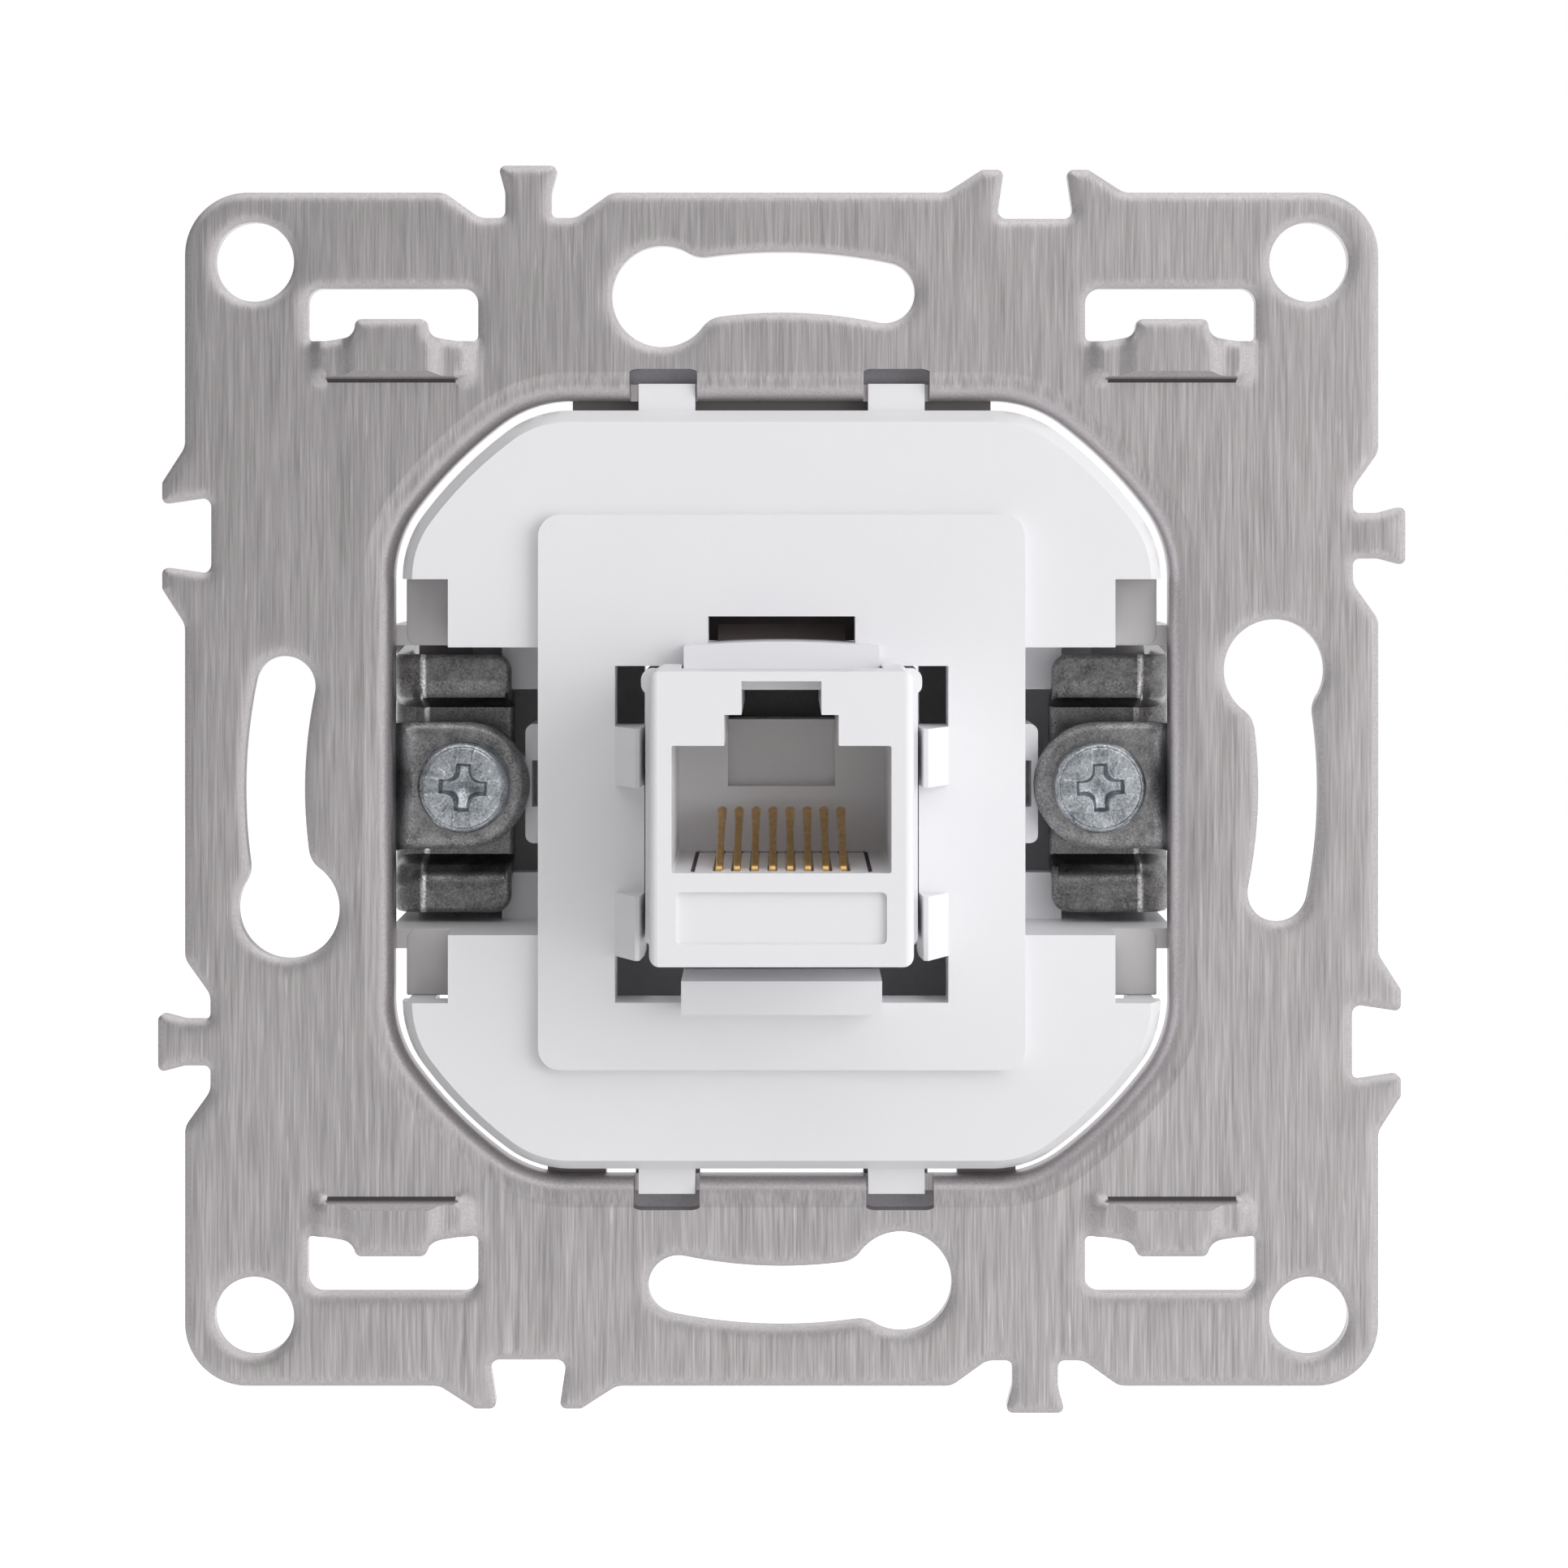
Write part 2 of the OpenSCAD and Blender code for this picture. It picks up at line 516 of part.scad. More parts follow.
// Recess in the top of the jack, in front of the insert's upper wall
top_recess = 0.45;
top_recess_y = face_y + 3.9;
module port_outline() {
  round_rect(-port_w / 2, port_w / 2, port_floor, port_top, port_r);
  rect(-latch_w / 2, latch_w / 2, port_top - 0.5, port_top + latch_h);
}
module jack_housing() color(white) difference() {
  union() {
    intersection() {
      along_y(face_y, neck_y + eps) round_rect(-jack_w / 2, jack_w / 2, jack_bottom, jack_top, 0.6);
      // Rounded upright edges of the face
      along_z(jack_bottom - 1, jack_top + 1) {
        rect(-jack_w / 2 + face_r, jack_w / 2 - face_r, face_y, neck_y + 1);
        rect(-jack_w / 2, jack_w / 2, face_y + face_r, neck_y + 1);
        for (x = [-1, 1]) translate([x * (jack_w / 2 - face_r), face_y + face_r]) circle(face_r);
      }
    }
    along_y(neck_y, housing_back) {
      round_rect(-neck_w / 2, neck_w / 2, jack_bottom, neck_top, 0.4);
      round_rect(-shoulder_w / 2, shoulder_w / 2, neck_top - 1.5, neck_top, 0.6);
    }
    // Sprung latch above: an arm from the back that hooks behind the insert's upper wall
    along_x(-latch_arm_w / 2, latch_arm_w / 2) polygon([
      [housing_back, neck_top - 0.6], [housing_back, neck_top + 0.7], [latch_y + 2.2, upper_wall_z + upper_wall_t + 0.9],
      [latch_y, upper_wall_z + upper_wall_t - 0.2], [latch_y, upper_wall_z + 0.1], [latch_y + 0.9, upper_wall_z + 0.1],
      [housing_back - 1.4, neck_top - 0.6]]);
    // Fixed catch below, behind the insert's lower wall
    box(-lower_wall_w / 2, lower_wall_w / 2, plate_back, plate_back + 2, jack_bottom - catch_h, jack_bottom + 0.5);
  }
  along_y(face_y - 1, port_back) port_outline();
  along_y(face_y - 1, face_y + 3.5)
    rect(-latch_top_w / 2, latch_top_w / 2, port_top + latch_h - 0.5, port_top + latch_h + latch_top_h);
  // Gap above the latch pocket, open towards the board
  along_y(face_y - 1, housing_back + 1)
    rect(-latch_top_w / 2, latch_top_w / 2, port_top + latch_h - 0.5, port_top + latch_h + latch_top_h - latch_lip);
  along_y(port_back, housing_back + 1)
    rect(-latch_w / 2, latch_w / 2, port_top + latch_h - latch_sill, port_top + latch_h);
  // Recess for the lip of the insert's upper wall
  box(-upper_wall_w / 2 - jack_clear, upper_wall_w / 2 + jack_clear, top_recess_y, neck_y + eps, jack_top - top_recess,
      jack_top + 1);
  // Pocket for the plug's latch in the back wall
  box(-latch_w / 2, latch_w / 2, port_back - 1, port_back + 1.2, port_mid + 0.3, port_top + latch_h);
  // Seat of the contact sled, open towards the board
  box(-sled_w / 2 - sled_clear, sled_w / 2 + sled_clear, sled_y - sled_clear, housing_back + 1,
      port_floor - sled_t - sled_clear, port_floor + eps);
  // Shallow blank panel below the port
  along_y(face_y - 1, face_y + 0.3)
    round_rect(-label_w / 2, label_w / 2, jack_bottom + 1.25, port_floor - 1.05, 0.3);
}

// Contact sled with eight grooves
function contact_x(i) = (i - 4.5) * contact_pitch;
groove_clear = 0.04;
groove_depth = contact_t + 0.12;
module contact_sled() color(white) difference() {
  box(-sled_w / 2, sled_w / 2, sled_y, housing_back, port_floor - sled_t, port_floor);
  for (i = [1:8])
    box(contact_x(i) - contact_w / 2 - groove_clear, contact_x(i) + contact_w / 2 + groove_clear,
        sled_y + 0.4, housing_back + 1, port_floor - groove_depth, port_floor + 1);
}

// Port contacts: along the groove, round a bend at the front and back up to a sprung tip
contact_r = 0.5;
contact_low = port_floor - groove_depth + contact_t / 2;
contact_bend_y = sled_y + 0.45 + contact_r + contact_t / 2;
contact_tip = [face_y + 10, port_mid - 0.95];
module contact(i) color(gold) along_x(contact_x(i) - contact_w / 2, contact_x(i) + contact_w / 2)
  polygon(strip(concat([[housing_back + board_t + 0.8, contact_low]],
                       arc([contact_bend_y, contact_low + contact_r], contact_r, 270, 105, 10),
                       [contact_tip, contact_tip + [0.9, -0.12]]), contact_t));

// Board, terminal block, terminals and caps at the back of the jack
board_w = neck_w - 0.6;
board_bottom = jack_bottom + 0.3;
board_top = neck_top - 0.3;
board_y = housing_back;
block_y = board_y + board_t;
block_back = block_y + block_depth;
block_w = neck_w;
term_pitch = 3.6;
term_x = block_w / 2 - 2.9;
term_blade_t = 0.5;
term_blade_w = 2.4;
term_clear = 0.04;
term_slot = 1.1;
term_pin_d = 0.8;
block_mid = (board_bottom + board_top) / 2;
function term_side(i) = i <= 4 ? -1 : 1;
function term_z(i) = block_mid + ((i - 1) % 4 - 1.5) * term_pitch;
module jack_board() color(green) difference() {
  along_y(board_y, block_y) round_rect(-board_w / 2, board_w / 2, board_bottom, board_top, 0.4);
  along_y(board_y - 1, block_y + 1) {
    for (i = [1:8]) translate([contact_x(i), contact_low]) circle(d = 0.7);
    for (i = [1:8]) translate([term_side(i) * term_x, term_z(i)]) circle(d = term_pin_d + 0.1);
  }
}
module terminal_block() color(white) difference() {
  along_y(block_y, block_back) round_rect(-block_w / 2, block_w / 2, board_bottom, board_top, 0.5);
  // Channel for the wires between the two rows
  box(-1.9, 1.9, block_y + 2.5, block_back + 1, board_bottom - 1, board_top + 1);
  // Room for the ends of the port contacts
  box(-contact_x(8) - 0.8, contact_x(8) + 0.8, block_y - 1, block_y + 1.2, contact_low - 0.8, contact_low + 0.8);
  for (i = [1:8]) {
    // Wire slot
    box(min(term_side(i) * 1.5, term_side(i) * block_w), max(term_side(i) * 1.5, term_side(i) * block_w),
        block_back - 5.5, block_back + 1, term_z(i) - term_slot / 2, term_z(i) + term_slot / 2);
    // Blade pocket
    box(term_side(i) * term_x - term_blade_t / 2 - term_clear, term_side(i) * term_x + term_blade_t / 2 + term_clear,
        block_y + 0.5, block_back + 1, term_z(i) - term_blade_w / 2 - term_clear, term_z(i) + term_blade_w / 2 + term_clear);
    // Pin bore
    along_y(block_y - 1, block_y + 1) translate([term_side(i) * term_x, term_z(i)]) circle(d = term_pin_d + 0.1);
  }
}
module terminal(i) color(zinc_bright) {
  x = term_side(i) * term_x;
  tip_y = block_back - 0.6;
  difference() {
    box(x - term_blade_t / 2, x + term_blade_t / 2, block_y + 0.5, tip_y, term_z(i) - term_blade_w / 2,
        term_z(i) + term_blade_w / 2);
    along_x(x - 1, x + 1) {
      rect(block_y + 2.6, tip_y + 1, term_z(i) - 0.17, term_z(i) + 0.17);
      polygon([[tip_y - 1, term_z(i)], [tip_y + 0.2, term_z(i) - 0.8], [tip_y + 0.2, term_z(i) + 0.8]]);
    }
  }
  along_y(board_y, block_y + 0.6) translate([x, term_z(i)]) circle(d = term_pin_d);
}
cap_t = 1.4;
module terminal_cap() color(white) difference() {
  along_y(block_back, block_back + cap_t)
    round_rect(2.1, block_w / 2, board_bottom, board_top, 0.5);
  for (i = [5:8]) along_y(block_back - 1, block_back + 0.6)
    rect(1, block_w, term_z(i) - term_slot / 2, term_z(i) + term_slot / 2);
}
module terminal_cap_right() terminal_cap();
module terminal_cap_left() mirror([1, 0, 0]) terminal_cap();

// Socket body
hole_w = neck_w + 2 * jack_clear;
pocket_w = neck_w + 3.7;
pocket_top = neck_top + jack_clear;
upper_wall_w = 11.3;
upper_wall_z = jack_top + jack_clear;
upper_wall_t = 1.1;
upper_wall_R = 60;
upper_wall_crown = 0.1;
lower_wall_w = 11.6;
lower_wall_z = jack_bottom - catch_h - jack_clear;
lower_wall_t = 1.95;
lower_wall_root = 4;
wall_rise = 2.4;
rib_rise = 2.2;
hole_bottom = lower_wall_z - lower_wall_t + 0.35;
rib_z = [[jack_z + 1, jack_z + 4.4], [jack_z - 9, jack_z - 5.3]];
relief_w = 8.6;
relief_h = 1.5;
skirt_gap = body_gap + 0.3;
clip_y = sheet_y + 0.5;
clip_seat = 0.15;
clip_reach = 1.0;
pad_clear = 0.04;
// A claw bay reaches in as far as the bracket's tongue needs
bay_clear = 0.9;
bay_x = min(platform_w / 2, claw_x - tongue_w / 2 - bay_clear);
rim_back = flange_y + 1.5;
boss_x = foot_x - claw_t / 2 - 0.4;
boss_y = tongue_back + 0.3;
module plate_profile() polygon([
  [-body_gap - plate_edge_w, plate_y], [-body_gap, plate_y + plate_edge_d], [-body_gap, plate_back],
  [-body_gap - 2 * plate_edge_w, plate_back], [-body_gap - 2 * plate_edge_w, plate_y]]);
module keystone_hole() {
  rect(-hole_w / 2, hole_w / 2, hole_bottom, pocket_top);
  rect(-pocket_w / 2, pocket_w / 2, rib_z[0][1], pocket_top);
  rect(-pocket_w / 2, pocket_w / 2, hole_bottom, rib_z[1][0]);
  rect(-relief_w / 2, relief_w / 2, upper_wall_z + upper_wall_t - 0.1, upper_wall_z + upper_wall_t + relief_h);
}
module rib(z0, z1) along_z(z0, z1) polygon([
  [pocket_w / 2, plate_back], [pocket_w / 2, platform_y], [hole_w / 2 + 0.45, platform_y - rib_rise],
  [hole_w / 2 + 0.2, platform_y - rib_rise + 0.1], [hole_w / 2, platform_y], [hole_w / 2, plate_back]]);
module socket_body() color(white) {
  difference() {
    union() {
      along_y(plate_y, plate_back) opening_shape(-body_gap - plate_edge_w);
      round_opening() plate_profile();
      along_y(platform_y, plate_back)
        round_rect(-platform_w / 2, platform_w / 2, -platform_h / 2, platform_h / 2, platform_r);
      // Skirt inside the flange
      along_y(plate_back - eps, rim_back) difference() {
        opening_shape(-skirt_gap);
        opening_shape(-skirt_gap - wall_t);
      }
      // Core behind the platform
      along_y(plate_back - eps, body_depth) difference() {
        round_rect(-platform_w / 2, platform_w / 2, -platform_h / 2, platform_h / 2, platform_r);
        rect(-platform_w / 2 + wall_t, platform_w / 2 - wall_t, -platform_h / 2 + wall_t, platform_h / 2 - wall_t);
      }
    }
    along_y(platform_y - 5, plate_back + 1) keystone_hole();
    // Claw bays
    sides() box(bay_x, half + 2, platform_y - 1, body_depth + 1, -claw_bay_h / 2, claw_bay_h / 2);
    // Steps above the ledges
    sides() top_and_bottom()
      box(half - body_gap - ledge_w, half + 2, platform_y - 1, plate_y + ledge_drop, claw_bay_h / 2 - eps,
          claw_bay_h / 2 + ledge_h);
  }
  // Back wall with the opening that the jack goes in by
  along_y(body_depth - wall_t, body_depth) difference() {
    rect(-platform_w / 2 + eps, platform_w / 2 - eps, -platform_h / 2 + platform_r, platform_h / 2 - platform_r);
    round_rect(-shoulder_w / 2 - 0.5, shoulder_w / 2 + 0.5, jack_bottom - catch_h - 0.5, upper_wall_z + 0.65, 0.8);
  }
  // Floors of the claw bays, with a hole for the screw's end
  sides() along_y(body_depth - wall_t, body_depth) difference() {
    rect(bay_x - eps, bend_x - 0.2, -claw_bay_h / 2 - eps, claw_bay_h / 2 + eps);
    translate([claw_x, 0]) circle(d = screw_d + 1);
  }
  sides() top_and_bottom() {
    // Ledges
    along_y(plate_y + ledge_drop, rim_back)
      round_rect(half - body_gap - ledge_w - wall_t, half - body_gap, claw_bay_h / 2, claw_bay_h / 2 + ledge_h, 0.6);
    // Claw guides behind the flange
    box(bay_x - eps, half + 0.4, flange_y, body_depth, claw_bay_h / 2, claw_bay_h / 2 + 1.2);
    box(bay_x - eps, half - body_gap - ledge_w, plate_back - eps, flange_y + eps, claw_bay_h / 2, claw_bay_h / 2 + 1.2);
    // Seats below the claw's shoulders
    box(bay_x - eps, foot_x + 0.7, channel_y - 0.7, channel_y + 0.7, shoulder_edge + 0.9, claw_bay_h / 2 + eps);
    // Clips
    box(clip_x - clip_w / 2, clip_x + clip_w / 2, clip_y, clip_floor - clip_seat, half - skirt_gap - wall_t, half + clip_reach);
    // Pads behind the clip windows
    box(clip_x - clip_window_w / 2 + pad_clear, clip_x + clip_window_w / 2 - pad_clear, flange_y, rim_back,
        half - skirt_gap - wall_t, half + clip_window_reach - pad_clear);
  }
  // Boss beside each claw
  sides() difference() {
    along_y(boss_y, body_depth) round_rect(bay_x - 1, boss_x, -3.6, 3.6, 0.5);
    box(bay_x, boss_x - 0.4, boss_y - 1, boss_y + 3, -1.4, 1.4);
  }
  // Rear rim that meets the flange's back edge
  box(-blend_x, blend_x, flange_y, rim_back, half - skirt_gap - wall_t, half + 0.9);
  sides() box(blend_x - 2, blend_x + 1.5, flange_y, rim_back, -half - 0.9, -half + skirt_gap + wall_t);
  // Guide ribs beside the jack
  sides() for (z = rib_z) rib(z[0], z[1]);
  // Upper wall, slightly arched
  along_y(platform_y - wall_rise, plate_back) intersection() {
    rect(-upper_wall_w / 2, upper_wall_w / 2, upper_wall_z, upper_wall_z + 2 * upper_wall_t);
    translate([0, upper_wall_z + upper_wall_t + upper_wall_crown - upper_wall_R]) circle(upper_wall_R, $fn = 200);
  }
  box(-upper_wall_w / 2, upper_wall_w / 2, platform_y - wall_rise, neck_y - jack_clear, jack_top - top_recess + jack_clear,
      upper_wall_z + eps);
  // Lower wall
  box(-lower_wall_w / 2, lower_wall_w / 2, platform_y - wall_rise, plate_back + lower_wall_root, lower_wall_z - lower_wall_t,
      lower_wall_z);
}

mounting_frame();
socket_body();
claw_bracket_left();
claw_bracket_right();
claw_left();
claw_right();
claw_screw_left();
claw_screw_right();
jack_housing();
contact_sled();
for (i = [1:8]) contact(i);
jack_board();
terminal_block();
for (i = [1:8]) terminal(i);
terminal_cap_left();
terminal_cap_right();
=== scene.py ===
import math

import bpy
import numpy as np
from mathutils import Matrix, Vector, geometry


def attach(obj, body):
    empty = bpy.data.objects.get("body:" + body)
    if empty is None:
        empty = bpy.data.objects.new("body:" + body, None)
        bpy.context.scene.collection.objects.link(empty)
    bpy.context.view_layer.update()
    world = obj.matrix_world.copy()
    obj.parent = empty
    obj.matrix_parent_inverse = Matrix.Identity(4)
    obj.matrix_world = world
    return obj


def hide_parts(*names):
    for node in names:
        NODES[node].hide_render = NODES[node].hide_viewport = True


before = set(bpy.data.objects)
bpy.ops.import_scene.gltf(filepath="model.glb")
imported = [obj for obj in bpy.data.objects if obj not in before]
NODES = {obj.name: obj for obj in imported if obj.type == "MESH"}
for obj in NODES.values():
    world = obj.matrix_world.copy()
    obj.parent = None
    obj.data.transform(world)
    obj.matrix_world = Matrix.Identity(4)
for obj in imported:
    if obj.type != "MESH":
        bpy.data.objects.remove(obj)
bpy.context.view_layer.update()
MM = 0.001

# Camera: in front of the socket and a little above its middle
CAMERA_AT = (0.14 * MM, -186.0 * MM, 15.49 * MM)
CAMERA_LENS = 71.87
CAMERA_SENSOR = 36.0
CAMERA_SHIFT = -0.1636

camera_data = bpy.data.cameras.new("camera")
camera_data.lens = CAMERA_LENS
camera_data.sensor_width = CAMERA_SENSOR
camera_data.shift_y = CAMERA_SHIFT
camera_data.clip_start = 0.01
camera = bpy.data.objects.new("camera", camera_data)
camera.location = CAMERA_AT
camera.rotation_euler = (math.radians(90.0), 0.0, 0.0)
bpy.context.scene.collection.objects.link(camera)
bpy.context.scene.camera = camera
bpy.context.scene.view_settings.view_transform = "Standard"


# Shader helpers
class Nodes:
    """Short calls for the nodes of a shader tree."""

    def __init__(self, tree):
        self.tree = tree
        self.tree.nodes.clear()

    def add(self, kind):
        return self.tree.nodes.new("ShaderNode" + kind)

    def link(self, source, target):
        if isinstance(source, bpy.types.NodeSocket):
            self.tree.links.new(source, target)
        else:
            target.default_value = source

    def math(self, kind, a, b=0.0):
        node = self.add("Math")
        node.operation = kind
        self.link(a, node.inputs[0])
        self.link(b, node.inputs[1])
        return node.outputs[0]

    def plus(self, a, b):
        return self.math("ADD", a, b)

    def times(self, a, b):
        return self.math("MULTIPLY", a, b)

    def most(self, a, b):
        return self.math("MAXIMUM", a, b)

    def over(self, value, limit):
        return self.math("GREATER_THAN", value, limit)

    def under(self, value, limit):
        return self.math("LESS_THAN", value, limit)

    def every(self, share, *others):
        for other in others:
            share = self.times(share, other)
        return share

    def size_of(self, value):
        return self.math("ABSOLUTE", value)

    def spread(self, value, low, high, to_low=0.0, to_high=1.0):
        node = self.add("MapRange")
        self.link(value, node.inputs["Value"])
        for name, number in (("From Min", low), ("From Max", high), ("To Min", to_low), ("To Max", to_high)):
            node.inputs[name].default_value = number
        return node.outputs["Result"]

    def part_of(self, vector, axis):
        split = self.add("SeparateXYZ")
        self.link(vector, split.inputs[0])
        return split.outputs[axis]


class Shader(Nodes):
    """A material with a Principled shader."""

    def __init__(self, name):
        self.material = bpy.data.materials.new(name)
        self.material.use_nodes = True
        super().__init__(self.material.node_tree)
        output = self.add("OutputMaterial")
        self.bsdf = self.add("BsdfPrincipled")
        self.link(self.bsdf.outputs["BSDF"], output.inputs["Surface"])

    def set(self, name, value):
        self.link(value, self.bsdf.inputs[name])

    def noise(self, scale, detail=2.0, rough=0.5):
        """Noise with a scale per metre, one for all axes or one for each."""
        mapping = self.add("Mapping")
        self.link(self.add("TexCoord").outputs["Object"], mapping.inputs["Vector"])
        mapping.inputs["Scale"].default_value = scale if isinstance(scale, tuple) else (scale,) * 3
        node = self.add("TexNoise")
        self.link(mapping.outputs["Vector"], node.inputs["Vector"])
        node.inputs["Scale"].default_value = 1.0
        node.inputs["Detail"].default_value = detail
        node.inputs["Roughness"].default_value = rough
        return node.outputs["Fac"]

    def mix(self, share, a, b):
        node = self.add("Mix")
        node.data_type = "RGBA"
        self.link(share, node.inputs["Factor"])
        self.link(a, node.inputs[6])
        self.link(b, node.inputs[7])
        return node.outputs[2]

    def blend(self, a, b, share):
        """Two values added, with a share of the first."""
        return self.plus(self.times(a, share), self.times(b, 1.0 - share))

    def normal_part(self, axis):
        return self.part_of(self.add("NewGeometry").outputs["Normal"], axis)

    def place_part(self, axis):
        return self.part_of(self.add("TexCoord").outputs["Object"], axis)

    def bump(self, height, distance, strength):
        node = self.add("Bump")
        self.link(height, node.inputs["Height"])
        node.inputs["Distance"].default_value = distance
        node.inputs["Strength"].default_value = strength
        self.set("Normal", node.outputs["Normal"])

    def direction(self, vector):
        node = self.add("CombineXYZ")
        for i in range(3):
            node.inputs[i].default_value = vector[i]
        self.set("Tangent", node.outputs[0])


# Places in the materials, in millimetres
LUG_WALL_X = 23.0
LUG_WALL_Z = 24.4
LUG_WALL_HALF = (3.9, 0.7)
LUG_WALL_DEPTH = (-1.55, -1.25)
PLATFORM_EDGE_Y = (-3.1, -2.6)
PLATFORM_EDGE_Z = 15.5
DEEP_FROM = 0.3
DEEP_FULL = 0.9
PAD_Z = 23.9
RIM_GAP_Z = 21.6
LEDGE_X = 19.5
LEDGE_Z = 12.7
RELEASE_SLOT_X = 12.7
RELEASE_SLOT_Y = (-0.4, 12.9)
RELEASE_SLOT_Z = (7.8, 12.0)
CREASE_X = 21.7
CREASE_FADE = (0.22, 0.08)


def grey(value):
    return (value, value, value, 1.0)


def steel_tint(value):
    return (value * 1.045, value, value * 1.015, 1.0)


def make_stainless():
    s = Shader("stainless_sheet")
    steep = s.size_of(s.normal_part("Y"))
    flat = s.spread(steep, 0.93, 0.995)
    fine = s.spread(s.noise((8200.0, 8200.0, 230.0), 2.0, 0.6), 0.3, 0.7)
    wide = s.spread(s.noise((1900.0, 1900.0, 90.0), 2.0, 0.6), 0.3, 0.7)
    scratch = s.spread(s.noise((4200.0, 4200.0, 300.0), 1.0), 0.70, 0.80)
    cloud = s.noise(90.0)
    grain = s.noise(7000.0, 2.0, 0.6)
    streak = s.plus(s.times(fine, 0.55), s.times(wide, 0.3))
    tone = s.plus(streak, s.times(cloud, 0.15))
    lined = s.plus(tone, s.times(scratch, 0.35))
    brushed = s.mix(lined, steel_tint(0.33), steel_tint(0.76))
    satin = s.mix(grain, steel_tint(0.42), steel_tint(0.72))
    surface = s.mix(flat, satin, brushed)
    # Painted shade: the lanced wall below each lug's bridge is coloured near black
    low, high = LUG_WALL_DEPTH
    deep = s.times(s.spread(s.place_part("Y"), low * MM, high * MM), lug_mask(s, steep))
    s.set("Base Color", s.mix(deep, surface, steel_tint(0.09)))
    s.set("Metallic", 1.0)
    s.set("Roughness", s.mix(flat, grey(0.42), s.spread(lined, 0.0, 1.2, 0.42, 0.30)))
    s.set("Anisotropic", 0.45)
    s.direction((0.0, 0.0, 1.0))
    s.bump(s.plus(s.times(streak, flat), s.times(grain, 0.35)), 0.00002, 0.4)
    return s.material


def lug_mask(s, steep):
    """Share of the lanced wall below a lug's bridge, which lies in its own shadow."""
    across = s.size_of(s.math("SUBTRACT", s.size_of(s.place_part("X")), LUG_WALL_X * MM))
    along = s.size_of(s.math("SUBTRACT", s.size_of(s.place_part("Z")), LUG_WALL_Z * MM))
    near = s.times(s.under(across, LUG_WALL_HALF[0] * MM), s.under(along, LUG_WALL_HALF[1] * MM))
    return s.times(near, s.spread(steep, 0.8, 0.65))


def make_white():
    """White moulding, with a painted shade line along the platform's top and bottom edges and painted shade
    on what lies deep and in the release slot.
    """
    s = Shader("white_moulding")
    grain = s.noise(5200.0, 2.0, 0.6)
    cloud = s.noise(140.0)
    x, y, z = (s.place_part(axis) for axis in "XYZ")
    aside = s.size_of(x)
    high = s.size_of(z)
    smooth = s.mix(s.blend(grain, cloud, 0.3), (0.775, 0.773, 0.80, 1.0), (0.815, 0.81, 0.83, 1.0))
    # Painted shade: a darker line on the bevels along the platform's top and bottom edges
    edge = s.every(s.over(y, PLATFORM_EDGE_Y[0] * MM), s.under(y, PLATFORM_EDGE_Y[1] * MM),
                   s.over(high, PLATFORM_EDGE_Z * MM), s.over(s.normal_part("Y"), -0.97))
    plain = s.mix(edge, smooth, (0.63, 0.625, 0.645, 1.0))
    facing = s.under(s.normal_part("Y"), -0.4)
    deep = s.times(facing, s.spread(y, DEEP_FROM * MM, DEEP_FULL * MM))
    # Painted shade on deep front-facing surfaces at the sides: the ledges beside the plate and the claw bays
    ledge_and_bay_shade = s.every(deep, s.over(aside, LEDGE_X * MM), s.under(high, LEDGE_Z * MM))
    shaded = s.mix(ledge_and_bay_shade, plain, (0.50, 0.485, 0.49, 1.0))
    # Painted shade on deep front-facing surfaces above and below the plate, in the gap behind the frame
    rim_gap_shade = s.times(deep, s.over(high, RIM_GAP_Z * MM))
    shaded = s.mix(rim_gap_shade, shaded, (0.20, 0.185, 0.18, 1.0))
    # Painted shade in the release slot above the port: the white there is coloured dark brown-grey
    slot = s.every(s.over(y, RELEASE_SLOT_Y[0] * MM), s.under(y, RELEASE_SLOT_Y[1] * MM),
                   s.over(z, RELEASE_SLOT_Z[0] * MM), s.under(z, RELEASE_SLOT_Z[1] * MM),
                   s.under(aside, RELEASE_SLOT_X * MM))
    shaded = s.mix(slot, shaded, (0.25, 0.21, 0.20, 1.0))
    # Painted shade: deep front-facing surfaces behind the clip windows are coloured dark grey
    pad_shade = s.times(deep, s.over(high, PAD_Z * MM))
    s.set("Base Color", s.mix(pad_shade, shaded, (0.10, 0.098, 0.108, 1.0)))
    s.set("Roughness", s.spread(cloud, 0.3, 0.7, 0.42, 0.34))
    s.set("IOR", 1.49)
    s.bump(grain, 0.000008, 0.35)
    return s.material


def make_zinc(name, dark, light, crease=None):
    """Mottled plating; crease is the X along which a bend gets a painted highlight."""
    s = Shader(name)
    mottle = s.noise(7500.0, 3.0, 0.7)
    cloud = s.noise(900.0, 3.0, 0.6)
    color = s.mix(s.spread(s.blend(mottle, cloud, 0.6), 0.35, 0.65), dark, light)
    if crease:
        # Painted highlight: a bright line along the claw's bend
        off = s.size_of(s.math("SUBTRACT", s.size_of(s.place_part("X")), crease * MM))
        line = s.spread(off, CREASE_FADE[0] * MM, CREASE_FADE[1] * MM)
        crease_highlight = s.times(line, s.spread(mottle, 0.35, 0.6, 0.3, 1.0))
        color = s.mix(crease_highlight, color, (0.95, 0.95, 0.96, 1.0))
    s.set("Base Color", color)
    s.set("Metallic", 1.0)
    s.set("Roughness", s.spread(mottle, 0.3, 0.7, 0.42, 0.24))
    s.bump(mottle, 0.00002, 0.5)
    return s.material


